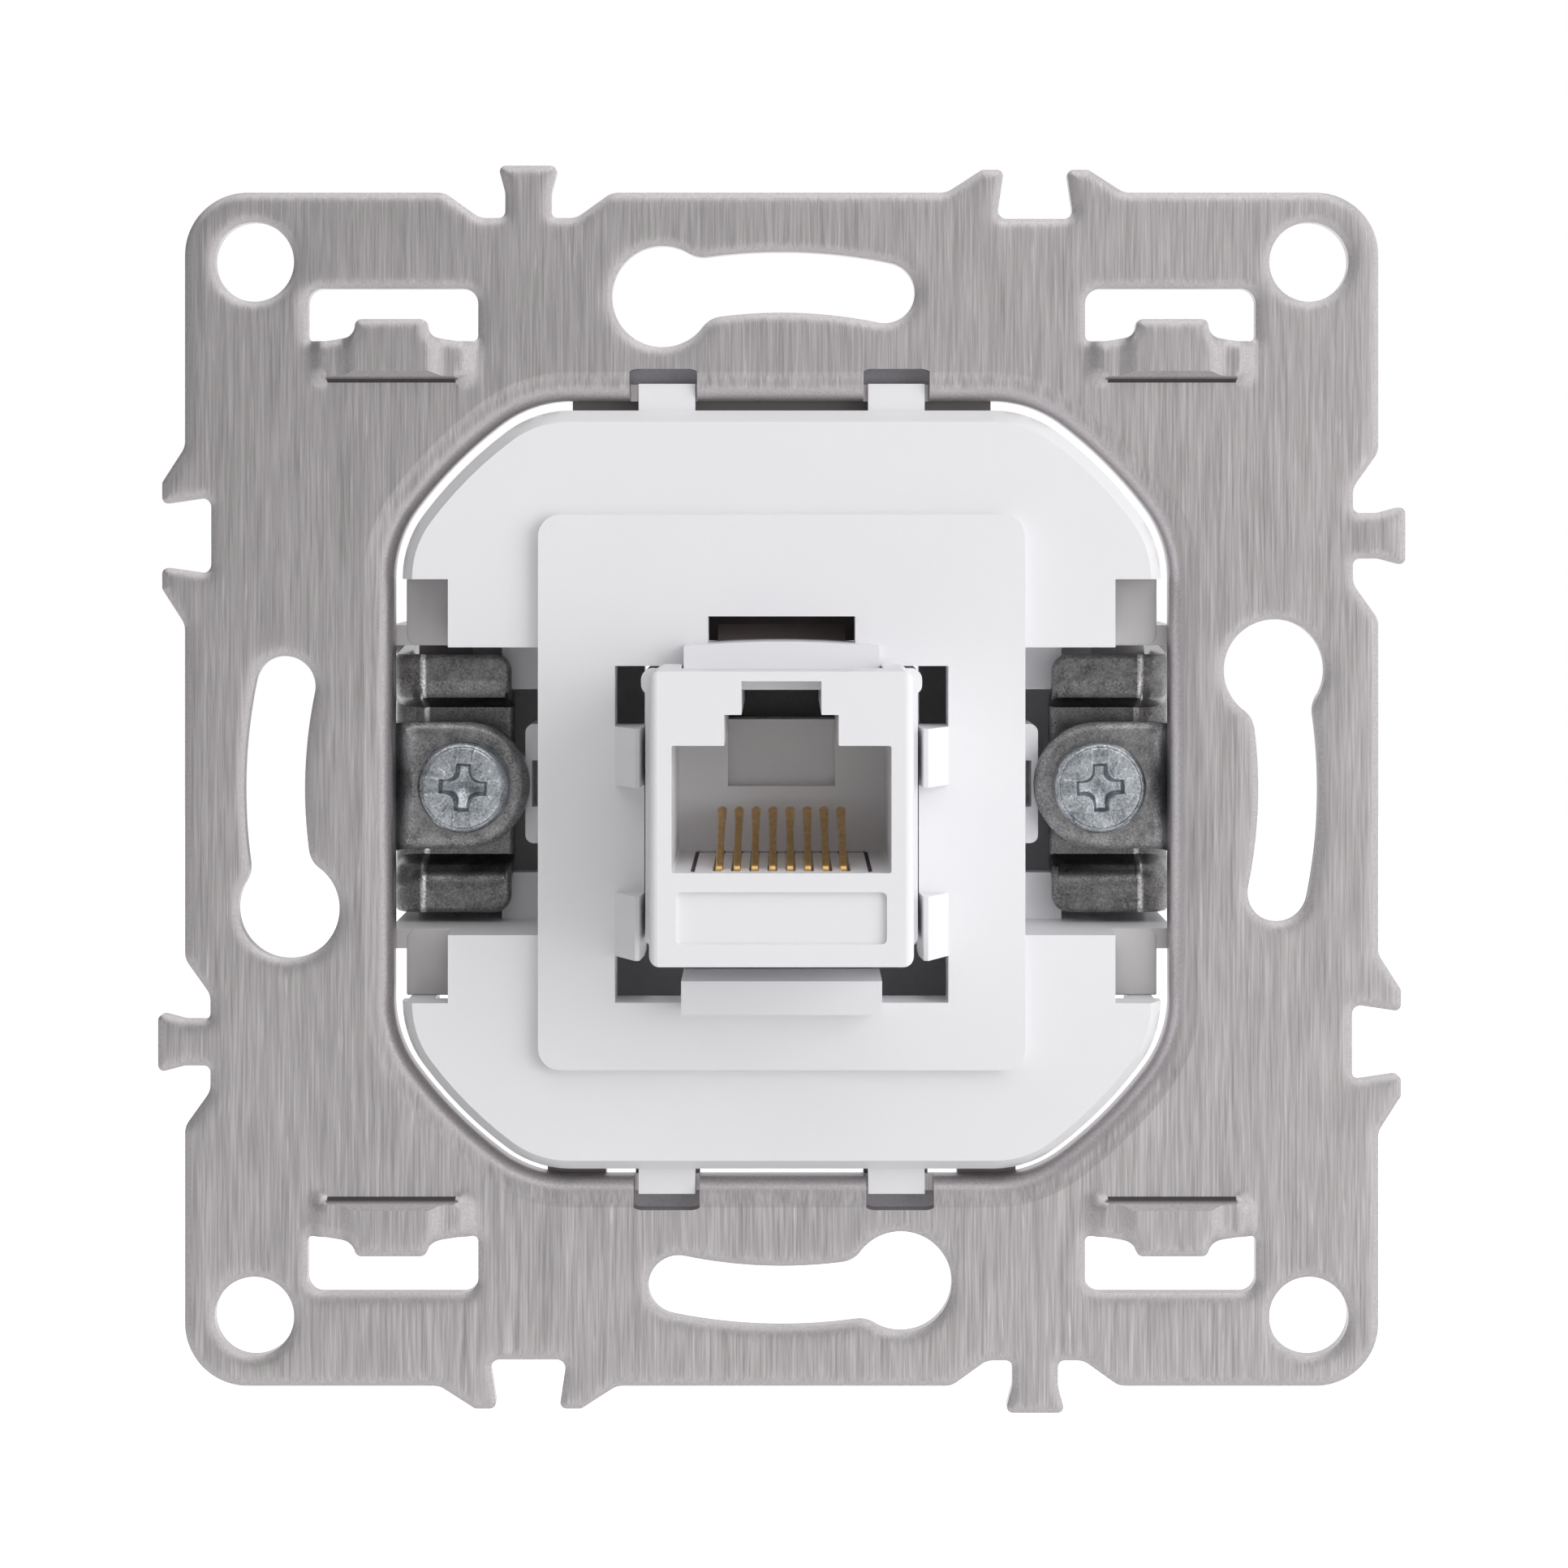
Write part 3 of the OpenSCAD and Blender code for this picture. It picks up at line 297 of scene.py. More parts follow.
def make_gold():
    s = Shader("contact_gold")
    wear = s.noise(2600.0, 3.0, 0.6)
    drawn = s.noise((16000.0, 900.0, 900.0), 2.0, 0.6)
    tone = s.blend(wear, drawn, 0.6)
    s.set("Base Color", s.mix(s.spread(tone, 0.3, 0.7), (0.60, 0.37, 0.13, 1.0), (0.88, 0.60, 0.27, 1.0)))
    s.set("Metallic", 1.0)
    s.set("Roughness", s.spread(tone, 0.3, 0.7, 0.42, 0.28))
    s.bump(drawn, 0.00001, 0.4)
    return s.material


def make_speckled(name, scale, dark, light, rough, metal=0.0, relief=0.0):
    s = Shader(name)
    speckle = s.noise(scale)
    s.set("Base Color", s.mix(speckle, dark, light))
    s.set("Metallic", metal)
    s.set("Roughness", rough)
    if relief:
        s.bump(speckle, 0.00001, relief)
    return s.material


STAINLESS = make_stainless()
# backing_steel is darker than the frame's steel, partly as painted shade for what shows through the clip
# windows
BACKING = make_speckled("backing_steel", 5000.0, (0.30, 0.295, 0.32, 1.0), (0.42, 0.41, 0.44, 1.0), 0.5, 0.3)
WHITE = make_white()
ZINC = make_zinc("zinc_sheet", (0.09, 0.088, 0.088, 1.0), (0.30, 0.298, 0.30, 1.0), CREASE_X)
ZINC_TONGUE = make_zinc("zinc_tongue", (0.13, 0.128, 0.13, 1.0), (0.42, 0.415, 0.42, 1.0))
ZINC_SCREW = make_zinc("zinc_screw", (0.16, 0.175, 0.19, 1.0), (0.74, 0.78, 0.82, 1.0))
TIN = make_zinc("tinned", (0.5, 0.5, 0.51, 1.0), (0.68, 0.68, 0.69, 1.0))
GOLD = make_gold()
# The board is near black, partly as painted shade: where it shows through the notch above the latch it reads
# as shadow
BOARD = make_speckled("board_near_black", 4200.0, (0.010, 0.013, 0.012, 1.0), (0.022, 0.026, 0.024, 1.0), 0.35,
                      relief=0.3)
SEAM = make_speckled("seam_shade", 3000.0, (0.02, 0.014, 0.012, 1.0), (0.05, 0.038, 0.033, 1.0), 0.8)


# Support frame: the sheet with its punched edges rolled over, lanced lugs and a drawn opening
FRAME_EDGE = 35.3
FRAME_CORNER = 3.7
SHEET_FRONT = -1.0
BEND_R = 1.7
BEND_START = 0.74
BEND_DROP = 0.09
BEND_DISH = ((0.18, 0.02), (0.36, 0.055), (0.52, 0.075))
BEND_TURNS = (18.0, 36.0, 54.0, 72.0, 81.0, 90.0)
SHEET_T = 1.0
FLANGE_END = 1.0
FLANGE_CHAMFER = 0.1
OPENING_HALF = 23.0
OPENING_WIDE_R = 25.0
OPENING_TIGHT_R = 6.9
OPENING_BLEND = 16.1
OPENING_BLEND_X = 12.48
OPENING_ARC_C = 1.62
COUPLER_X = 15.0
LUG_X = 23.0
LUG_Z = 26.5
LUG_RISE = 0.95
UPPER_WINDOW = (26.5, 29.62, 27.76)
LOWER_WINDOW = (26.4, 29.8, 27.42)
SIDES = ((1, 1), (-1, 1), (-1, -1), (1, -1))
ROLL_WIDTH = 1.0
ROLL_DEPTH = 0.22
ROLL_ROWS = (0.08, 0.18, 0.3, 0.45, 0.65, 1.0, 1.15)
CLIP_X = 6.8
CLIP_HALF = 1.955
CLIP_TOP = 24.86
CLIP_FLOOR = 0.6
CLIP_CORNER = ((0.3, 0.06), (0.6, 0.16), (0.85, 0.29), (1.0, 0.45))
BRACKET_HALF = 3.85
BRACKET_GAP = 0.02
LUG_STEPS = ((5.15, 1.15, 0.58), (3.1, 1.0, 0.42))
SLIT_Z = 24.05
SLIT_RUN = 0.65
SLIT_HALF = 3.8
SLIT_LEAST = 0.05
SLIT_FADE = (0.1, 0.6)
LUG_SLOPE = (0.45, 1.3)
LUG_FOOT_X = 4.6
LUG_FOOT_TOP = 0.1
LUG_TOP = 1.4
LUG_TOP_RUN = 0.9
LUG_CLEAR = 0.1
HOLE_AT = 31.2
HOLE_R = 2.35
KEYHOLE_PITCH = 30.0
KEYHOLE_R = 3.0
KEYHOLE_SLOT = 1.8
KEYHOLE_ROUND_TURN = 13.6
KEYHOLE_SHUT_TURN = 11.7
WINDOW_HALF = 5.05
LUG_TONGUE_HALF = 2.08
LOOP_STEP = 0.25
CORNER_STEP = 0.12
ROW_KEEP = 0.97
ROW_CLEAR = 0.08
POINTS_AT_ONCE = 400


def cos_of(degrees):
    return math.cos(math.radians(degrees))


def sin_of(degrees):
    return math.sin(math.radians(degrees))


def unit(v):
    return v / np.linalg.norm(v)


def arc_points(center, radius, start, end, step=LOOP_STEP):
    """Points of an arc between two angles in degrees."""
    count = max(3, int(math.ceil(abs(math.radians(end - start)) * radius / step)))
    angles = np.radians(np.linspace(start, end, count + 1))
    return np.column_stack((center[0] + radius * np.cos(angles), center[1] + radius * np.sin(angles)))


def round_corners(corners, step=CORNER_STEP):
    """Closed outline from corners (x, z, radius)."""
    points = []
    count = len(corners)
    for i, (x, z, radius) in enumerate(corners):
        here = np.array((x, z))
        if radius == 0.0:
            points.append(here)
            continue
        before = unit(np.array(corners[i - 1][:2]) - here)
        after = unit(np.array(corners[(i + 1) % count][:2]) - here)
        half = math.acos(max(-1.0, min(1.0, float(before @ after)))) / 2.0
        center = here + unit(before + after) * radius / math.sin(half)
        first = here + before * radius / math.tan(half) - center
        last = here + after * radius / math.tan(half) - center
        start = math.degrees(math.atan2(first[1], first[0]))
        turn = (math.degrees(math.atan2(last[1], last[0])) - start + 540.0) % 360.0 - 180.0
        points.extend(arc_points(center, radius, start, start + turn, step))
    return np.array(points)


def rounded_box(x0, x1, z0, z1, radius):
    return round_corners([(x0, z0, radius), (x1, z0, radius), (x1, z1, radius), (x0, z1, radius)])


def refine(loop, step=LOOP_STEP):
    """Splits the long segments of a closed outline."""
    points = []
    for i in range(len(loop)):
        a = loop[i]
        b = loop[(i + 1) % len(loop)]
        count = max(1, int(math.ceil(np.linalg.norm(b - a) / step)))
        for k in range(count):
            points.append(a + (b - a) * k / count)
    return np.array(points)


def segments_of(loops):
    """Starts and ends of the segments of closed outlines."""
    return np.concatenate(loops), np.concatenate([np.roll(loop, -1, 0) for loop in loops])


def grid_points(first, second):
    """All pairs of two rows of values."""
    a, b = np.meshgrid(first, second)
    return np.column_stack((a.ravel(), b.ravel()))


def area_of(loop):
    x, z = loop[:, 0], loop[:, 1]
    return 0.5 * float(np.sum(x * np.roll(z, -1) - np.roll(x, -1) * z))


def material_left(loop, hole):
    """Turns an outline so that the sheet lies on its left."""
    if (area_of(loop) > 0.0) == hole:
        return loop[::-1]
    return loop


def outer_loop():
    e = FRAME_EDGE
    tab = [(-4.95, e, 1.2), (-2.85, e - 1.5, 1.2), (-1.35, e - 1.5, 0.4), (-1.35, e, 1.2),
           (-1.78, e + 1.6, 0.35)]
    notch = [(-5.25, e, 1.2), (-3.15, e + 1.35, 0.35), (-1.85, e + 1.35, 0.35), (-2.28, e - 1.55, 0.5)]
    side = []
    for shape, middle in ((tab, -COUPLER_X), (notch, COUPLER_X)):
        whole = shape + [(-x, z, r) for x, z, r in reversed(shape)]
        side += [(x + middle, z, r) for x, z, r in whole]
    side.append((e, e, FRAME_CORNER))
    corners = []
    for quarter in range(4):
        corners += side
        side = [(z, -x, r) for x, z, r in side]
    return round_corners(corners)


def keyhole_loop():
    """Keyhole above the middle: an arc-shaped slot with a round end on its left."""
    pitch, hole_r, slot = KEYHOLE_PITCH, KEYHOLE_R, KEYHOLE_SLOT
    round_turn, shut_turn = math.radians(KEYHOLE_ROUND_TURN), math.radians(KEYHOLE_SHUT_TURN)
    shut_at = 90.0 - KEYHOLE_SHUT_TURN
    center = pitch * np.array((-math.sin(round_turn), math.cos(round_turn)))
    shut = pitch * np.array((math.sin(shut_turn), math.cos(shut_turn)))
    meets = []
    for radius in (pitch + slot, pitch - slot):
        cosine = (radius ** 2 + pitch ** 2 - hole_r ** 2) / (2.0 * radius * pitch)
        turn = round_turn - math.acos(cosine)
        meets.append((turn, np.array((-radius * math.sin(turn), radius * math.cos(turn)))))
    high, low = meets[0][1] - center, meets[1][1] - center
    start = math.degrees(math.atan2(high[1], high[0]))
    end = math.degrees(math.atan2(low[1], low[0])) % 360.0
    points = list(arc_points(center, hole_r, start, end if end > start else end + 360.0))
    junction = len(points) - 1
    low_turn = math.degrees(meets[1][0])
    points += list(arc_points((0.0, 0.0), pitch - slot, 90.0 + low_turn, shut_at))[1:]
    points += list(arc_points(shut, slot, shut_at + 180.0, shut_at + 360.0))[1:-1]
    high_turn = math.degrees(meets[0][0])
    points += list(arc_points((0.0, 0.0), pitch + slot, shut_at, 90.0 + high_turn))[:-1]
    return soften(np.array(points), (junction, 0))


def soften(loop, corners, reach=3):
    """Rounds single sharp corners of a finely stepped outline by a short curve."""
    loop = loop.copy()
    count = len(loop)
    for corner in corners:
        a = loop[(corner - reach) % count].copy()
        b = loop[corner % count].copy()
        c = loop[(corner + reach) % count].copy()
        for k in range(-reach + 1, reach):
            t = (k + reach) / (2.0 * reach)
            loop[(corner + k) % count] = (1 - t) ** 2 * a + 2 * t * (1 - t) * b + t ** 2 * c
    return loop


def window_loop(bottom, top, tip):
    """Window of a lug, with its tongue, in the upper right quarter."""
    half, tongue = WINDOW_HALF, LUG_TONGUE_HALF
    right = [(tongue, tip, 0.4), (tongue + 0.12, bottom + 0.25, 0.75), (3.9, bottom - 0.02, 1.2),
             (half, bottom, 0.35), (half, top, 0.9)]
    corners = right + [(-x, z, r) for x, z, r in reversed(right)]
    loop = round_corners(corners)
    loop[:, 0] += LUG_X
    return loop


def opening_loop():
    """Start of the rolled edge round the opening, from the middle of the right side."""
    d = BEND_R
    side = OPENING_HALF + d
    quarter = [np.array((side, z)) for z in np.arange(0.0, OPENING_BLEND_X, 0.5)]
    wide = math.degrees(math.atan2(OPENING_BLEND_X - OPENING_ARC_C, OPENING_BLEND - OPENING_ARC_C))
    quarter += list(arc_points((OPENING_BLEND, OPENING_BLEND_X), OPENING_TIGHT_R + d, 0.0, wide))
    quarter += list(arc_points((OPENING_ARC_C, OPENING_ARC_C), OPENING_WIDE_R + d, wide, 90.0 - wide))[1:]
    quarter += list(arc_points((OPENING_BLEND_X, OPENING_BLEND), OPENING_TIGHT_R + d, 90.0 - wide, 90.0))[1:]
    marks = [CLIP_X + CLIP_HALF, CLIP_X - CLIP_HALF]
    tops = sorted(set(list(np.arange(0.5, OPENING_BLEND_X, 0.5)) + marks), reverse=True)
    quarter += [np.array((x, side)) for x in tops]
    return np.concatenate([quarter_turned(np.array(quarter), turn) for turn in range(4)])


def segment_gaps(points, starts, ends):
    """Distance of each point from the nearest of many segments."""
    best = np.empty(len(points))
    run = ends - starts
    size = (run ** 2).sum(1)
    for first in range(0, len(points), POINTS_AT_ONCE):
        some = slice(first, first + POINTS_AT_ONCE)
        away = points[some, None, :] - starts
        along = np.clip((away * run).sum(2) / size, 0.0, 1.0)
        away = away - along[:, :, None] * run
        best[some] = np.sqrt((away ** 2).sum(2).min(1))
    return best


def inside_sheet(points, starts, ends):
    """Which points lie in the sheet, by counting the edges beside them."""
    x0, z0, x1, z1 = starts[:, 0], starts[:, 1], ends[:, 0], ends[:, 1]
    inside = np.empty(len(points), bool)
    level = np.where(z1 == z0, 1.0, z1 - z0)
    for i, (x, z) in enumerate(points):
        crosses = (z0 > z) != (z1 > z)
        inside[i] = np.count_nonzero(crosses & (x < x0 + (z - z0) * (x1 - x0) / level)) % 2 == 1
    return inside


def smooth_step(value):
    t = np.clip(value, 0.0, 1.0)
    return t * t * (3.0 - 2.0 * t)


def lug_ends(x):
    """Share of a lug's full height at a distance from its middle: two soft steps."""
    return sum(share * smooth_step((start - x) / run) for start, run, share in LUG_STEPS)


def lug_height(points):
    """How far the lugs lift the sheet: a bridge with sloped ends and a slanted lower edge."""
    x = np.abs(np.abs(points[:, 0]) - LUG_X)
    z = np.abs(points[:, 1])
    ends = lug_ends(x)
    top = SLIT_Z + SLIT_RUN * np.maximum(ends, SLIT_LEAST)
    slit = np.clip((z - SLIT_Z) / (top - SLIT_Z), 0.0, 1.0)
    slope = smooth_step((z - SLIT_Z + LUG_SLOPE[0]) / LUG_SLOPE[1])
    beyond = smooth_step((x - SLIT_HALF + SLIT_FADE[0]) / SLIT_FADE[1])
    lift = slit * (1.0 - beyond) + slope * beyond
    above = LUG_Z + np.where(x > LUG_FOOT_X, LUG_FOOT_TOP, LUG_TOP)
    lift = lift * (1.0 - smooth_step((z - above) / LUG_TOP_RUN))
    return LUG_RISE * ends * lift


def roll_depth(gaps):
    """How far the punched edge is rolled back, at a distance from that edge."""
    part = np.clip(1.0 - gaps / ROLL_WIDTH, 0.0, 1.0)
    return ROLL_DEPTH * part ** 3


def left_normals(loop):
    along = np.roll(loop, -1, 0) - np.roll(loop, 1, 0)
    along /= np.linalg.norm(along, axis=1)[:, None]
    return np.column_stack((-along[:, 1], along[:, 0]))


def quarter_turned(loop, turns):
    for _ in range(turns):
        loop = np.column_stack((-loop[:, 1], loop[:, 0]))
    return loop


def fill_sheet(loops, extra):
    """Triangles of the sheet between its outlines; outline points keep their order."""
    points = np.concatenate(loops + [extra])
    edges = []
    start = 0
    for loop in loops:
        count = len(loop)
        edges += [(start + i, start + (i + 1) % count) for i in range(count)]
        start += count
    result = geometry.delaunay_2d_cdt([Vector(p) for p in points], edges, [], 0, 0.00001, True)
    source = [ids[0] for ids in result[3]]
    faces = np.array([[source[i] for i in face] for face in result[2]])
    begins = points[[e[0] for e in edges]]
    ends = points[[e[1] for e in edges]]
    rim = (faces < start).all(1)
    keep = np.ones(len(faces), bool)
    keep[rim] = inside_sheet(points[faces[rim]].mean(1), begins, ends)
    return points, faces[keep]


def flange_profile():
    """Section [inward, y] of the rolled edge from front to back, and the two places where a clip cuts it."""
    bead = BEND_R - BEND_START
    middle = SHEET_FRONT + BEND_DROP + bead
    inner = BEND_R - SHEET_T
    bevel = FLANGE_CHAMFER
    cut_back = math.degrees(math.acos(1.0 - CLIP_FLOOR / inner))
    dish = ((0.0, 0.0),) + BEND_DISH + ((BEND_START, BEND_DROP),)
    front = [(run, SHEET_FRONT + drop) for run, drop in dish]
    front += [(BEND_START + bead * sin_of(a), middle - bead * cos_of(a)) for a in BEND_TURNS]
    front += [(BEND_R, CLIP_FLOOR), (BEND_R, CLIP_FLOOR + bevel)]
    end = [(BEND_R, FLANGE_END - bevel), (BEND_R - bevel, FLANGE_END),
           (inner + bevel, FLANGE_END), (inner, FLANGE_END - bevel)]
    back = [(inner * sin_of(a), inner * (1.0 - cos_of(a)))
            for a in [90.0, cut_back] + list(np.linspace(68.0, 0.0, 5))]
    return front + end + back, len(front) - 2, len(front) + len(end) + 1


def in_clip_window(a, b):
    middle = np.abs((a + b) / 2.0)
    return middle[1] > OPENING_HALF and abs(middle[0] - CLIP_X) < CLIP_HALF


def frame_loops():
    """Outlines of the sheet's outer edge and of its holes, apart from the opening."""
    holes = []
    for turn in range(4):
        holes.append(quarter_turned(keyhole_loop(), turn))
        holes.append(quarter_turned(arc_points((HOLE_AT, HOLE_AT), HOLE_R, 0.0, 360.0)[:-1], turn))
    for side in SIDES:
        window = UPPER_WINDOW if side[1] > 0 else LOWER_WINDOW
        holes.append(window_loop(*window) * np.array(side))
    outer = material_left(refine(outer_loop()), False)
    return [outer] + [material_left(refine(hole), True) for hole in holes]


def step_round_clips(opening, inward, windows):
    """The opening's outline, stepped out round each clip window, and the new places of its points."""
    stepped = []
    swept = {}
    for i in range(len(opening)):
        before, after = windows[i - 1], windows[i]
        if before and after:
            continue
        if not (before or after):
            swept[i] = len(stepped)
            stepped.append(opening[i])
            continue
        away = -inward[i] * (CLIP_TOP - OPENING_HALF - BEND_R)
        into = unit(opening[(i + 1) % len(opening)] - opening[i] if after else opening[i - 1] - opening[i])
        corner = [opening[i] + away * share + into * inset for share, inset in CLIP_CORNER]
        swept[i] = len(stepped) + (0 if after else len(corner))
        stepped += [opening[i]] + corner if after else corner[::-1] + [opening[i]]
        if after:
            run = 2.0 * (CLIP_HALF - CLIP_CORNER[-1][1])
            steps = int(run / LOOP_STEP)
            stepped += [corner[-1] + into * run * k / steps for k in range(1, steps)]
    return np.array(stepped), swept


def edge_rows(loops, starts, ends, free, rolled):
    """Rows of points along the punched edges."""
    normals = np.concatenate([left_normals(loop) for loop in loops])
    rows = []
    for part in ROLL_ROWS:
        row = ROLL_WIDTH * part
        points = (starts + normals * row)[rolled]
        rows.append(points[segment_gaps(points, starts[free], ends[free]) > row * ROW_KEEP])
    return rows


def lug_creases():
    """Points along the two creases of each lug's slanted lower edge."""
    x = np.arange(-SLIT_HALF - 0.3, SLIT_HALF + 0.31, 0.1)
    creases = []
    for part in (0.0, 1.0):
        crease = np.column_stack((x + LUG_X, SLIT_Z + SLIT_RUN * lug_ends(np.abs(x)) * part))
        creases += [crease * np.array(side) for side in SIDES]
    return creases


def lug_grids(starts, ends):
    """A grid of points over each lug, clear of its creases and of the sheet's edges."""
    grid = grid_points(np.arange(-6.2, 6.21, 0.25) + LUG_X, np.arange(23.3, 28.0, 0.2))
    low = grid[:, 1] - SLIT_Z
    high = low - SLIT_RUN * lug_ends(np.abs(grid[:, 0] - LUG_X))
    grid = grid[(np.abs(low) > LUG_CLEAR) & (np.abs(high) > LUG_CLEAR)]
    grids = []
    for side in SIDES:
        placed = grid * np.array(side)
        placed = placed[inside_sheet(placed, starts, ends)]
        grids.append(placed[segment_gaps(placed, starts, ends) > CORNER_STEP])
    return grids


def roll_opening(verts, faces, opening, inward, windows, rim_of, base):
    """Adds the opening's rolled edge, shorter at the brackets and cut at the clip windows."""
    profile, cut, cut_back = flange_profile()
    last = len(profile) - 1
    count = len(opening)
    columns = []
    for i in range(count):
        short = abs(opening[i][0]) > OPENING_HALF and abs(opening[i][1]) < BRACKET_HALF
        inside = windows[i - 1] and windows[i]
        ids = []
        for k, (run, y) in enumerate(profile):
            if k == 0 and not inside:
                ids.append(rim_of[i])
            elif k == last and not inside:
                ids.append(rim_of[i] + base)
            else:
                x, z = opening[i] + inward[i] * run
                ids.append(len(verts))
                verts.append((x, min(y, BEND_R + SHEET_FRONT - BRACKET_GAP) if short else y, z))
        columns.append(ids)
    for i in range(count):
        a, b = columns[i], columns[(i + 1) % count]
        steps = [(k, k + 1) for k in (range(cut, cut_back) if windows[i] else range(last))]
        if windows[i]:
            steps.append((cut_back, cut))
        faces += [(a[low], a[high], b[high], b[low]) for low, high in steps]
        if windows[i] != windows[i - 1]:
            cap = a[:cut + 1] + a[cut_back:]
            faces.append(tuple(cap if windows[i] else cap[::-1]))


def build_frame():
    """Vertices and faces of the support frame, in millimetres."""
    loops = frame_loops()
    first = sum(len(loop) for loop in loops)
    opening = opening_loop()[::-1]
    inward = -left_normals(opening)
    count = len(opening)
    windows = [in_clip_window(opening[i], opening[(i + 1) % count]) for i in range(count)]
    stepped, swept = step_round_clips(opening, inward, windows)
    loops.append(stepped)
    rim_of = {i: first + k for i, k in swept.items()}
    swept_edges = {(rim_of[i], rim_of[(i + 1) % count]) for i in range(count) if not windows[i]}

    starts, ends = segments_of(loops)
    number = len(starts)
    following = np.concatenate([np.roll(np.arange(len(loop)), -1) + at for loop, at in
                                zip(loops, np.cumsum([0] + [len(loop) for loop in loops[:-1]]))])
    free = np.array([(i, following[i]) not in swept_edges for i in range(number)])
    rolled = np.arange(number) < first
    rows = edge_rows(loops, starts, ends, free, rolled)
    creases = lug_creases()
    grids = lug_grids(starts, ends)
    front, front_faces = fill_sheet(loops, np.concatenate(rows + creases + grids))
    back, back_faces = fill_sheet(loops, np.concatenate(grids + creases))

    depth = roll_depth(segment_gaps(front, starts[rolled], ends[rolled]))
    front_y = SHEET_FRONT - lug_height(front) + depth
    verts = [(x, y, z) for (x, z), y in zip(front, front_y)]
    base = len(verts)
    verts += [(x, -h, z) for (x, z), h in zip(back, lug_height(back))]
    faces = [tuple(face) for face in front_faces[:, ::-1]]
    faces += [tuple(int(i) + base for i in face) for face in back_faces]
    for i in np.nonzero(free)[0]:
        j = following[i]
        faces.append((int(i), int(j), int(j) + base, int(i) + base))
    roll_opening(verts, faces, opening, inward, windows, rim_of, base)
    return np.array(verts), faces


def outward(verts, faces):
    """Faces turned so that a closed mesh's normals point out of it."""
    points = np.asarray(verts, float)
    volume = 0.0
    for face in faces:
        for k in range(1, len(face) - 1):
            volume += float(np.dot(points[face[0]], np.cross(points[face[k]], points[face[k + 1]])))
    return faces if volume > 0.0 else [tuple(face)[::-1] for face in faces]


def add_piece(name, shape, material, body, node=None, sharp=40.0):
    """A piece from vertices in millimetres and faces, which stands for a CAD node or is laid on one."""
    verts, faces = shape
    faces = outward(verts, faces)
    mesh = bpy.data.meshes.new(name)
    mesh.from_pydata([tuple(float(c) * MM for c in v) for v in verts], [], faces)
    mesh.materials.append(material)
    mesh.shade_smooth()
    mesh.set_sharp_from_angle(angle=math.radians(sharp))
    piece = bpy.data.objects.new(name, mesh)
    bpy.context.scene.collection.objects.link(piece)
    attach(piece, body)
    if node:
        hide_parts(node)


add_piece("support_frame", build_frame(), STAINLESS, "socket", "mounting_frame")


# Pieces shown by their own solids
EDGE_ANGLE = 30.0
EDGE_SEGMENTS = 2
WELD_GAP = 0.002
MOULD_EDGE = 0.10
SLED_EDGE = 0.05
CONTACT_COUNT = 8


def dress(name, material, edge=0.0):
    """Gives a CAD node its material and, where edge is set, rounded edges of that radius."""
    node = NODES[name]
    node.data.materials.clear()
    node.data.materials.append(material)
    if edge:
        weld = node.modifiers.new("weld", "WELD")
        weld.merge_threshold = WELD_GAP * MM
        bevel = node.modifiers.new("edge", "BEVEL")
        bevel.width = edge * MM
        bevel.segments = EDGE_SEGMENTS
        bevel.limit_method = "ANGLE"
        bevel.angle_limit = math.radians(EDGE_ANGLE)
        bevel.harden_normals = False
        bevel.miter_outer = "MITER_ARC"
        normals = node.modifiers.new("normals", "WEIGHTED_NORMAL")
        normals.keep_sharp = True


for name in ("socket_body", "jack_housing", "terminal_block", "terminal_cap_left", "terminal_cap_right"):
    dress(name, WHITE, MOULD_EDGE)
dress("contact_sled", WHITE, SLED_EDGE)
for number in range(1, CONTACT_COUNT + 1):
    dress("terminal_%d" % number, TIN)
dress("jack_board", BOARD)


# Claw screws: pan head with a cross recess and raised ticks, threaded shank
HANDS = (("left", -1.0), ("right", 1.0))
SCREW_X = 19.0
SCREW_SIDES = 240
SCREW_SHARP = 50.0
HEAD_TOP = 0.3
HEAD_BACK = 1.8
HEAD_R = 2.75
HEAD_DOME = 0.06
HEAD_BEVEL = 0.08
SHANK_R = 1.45
SCREW_END = 14.8
SCREW_TIP = (0.55, 0.6)
THREAD_PITCH = 0.5
THREAD_DEPTH = 0.24
CROSS_HALF = 1.45
CROSS_WIDTH = 0.46
CROSS_SOFT = 0.75
CROSS_WALL = 0.2
CROSS_DEPTH = 0.5
CROSS_CONE = 0.75
TICK_HALF = 0.05
TICK_RISE = 0.05
ARM_TICK = (1.52, 2.28)
ARM_TICK_SPREAD = 0.08
CORNER_TICK = (1.3, 1.95)
CORNER_TICK_TURNS = (36.0, 54.0)
HEAD_RIM = ((2.37, 0.10), (2.40, 0.10), (2.45, 0.03), (2.52, 0.06), (2.62, 0.15), (2.70, 0.27), (2.75, 0.45))
RECESS_TURN = {"left": -3.0, "right": 2.0}


def cross_gap(x, z):
    """Signed distance from the outline of the cross recess, negative inside it."""
    a = np.maximum(np.abs(x) - CROSS_HALF, np.abs(z) - CROSS_WIDTH)
    b = np.maximum(np.abs(z) - CROSS_HALF, np.abs(x) - CROSS_WIDTH)
    near = np.maximum(CROSS_SOFT - np.abs(a - b), 0.0) / CROSS_SOFT
    return np.minimum(a, b) - near * near * CROSS_SOFT / 4.0


def tick(along, across, ends):
    """Height of a raised tick between two ends."""
    ridge = np.clip(1.0 - (across / TICK_HALF) ** 2, 0.0, 1.0)
    return TICK_RISE * ridge * ((along > ends[0]) & (along < ends[1]))


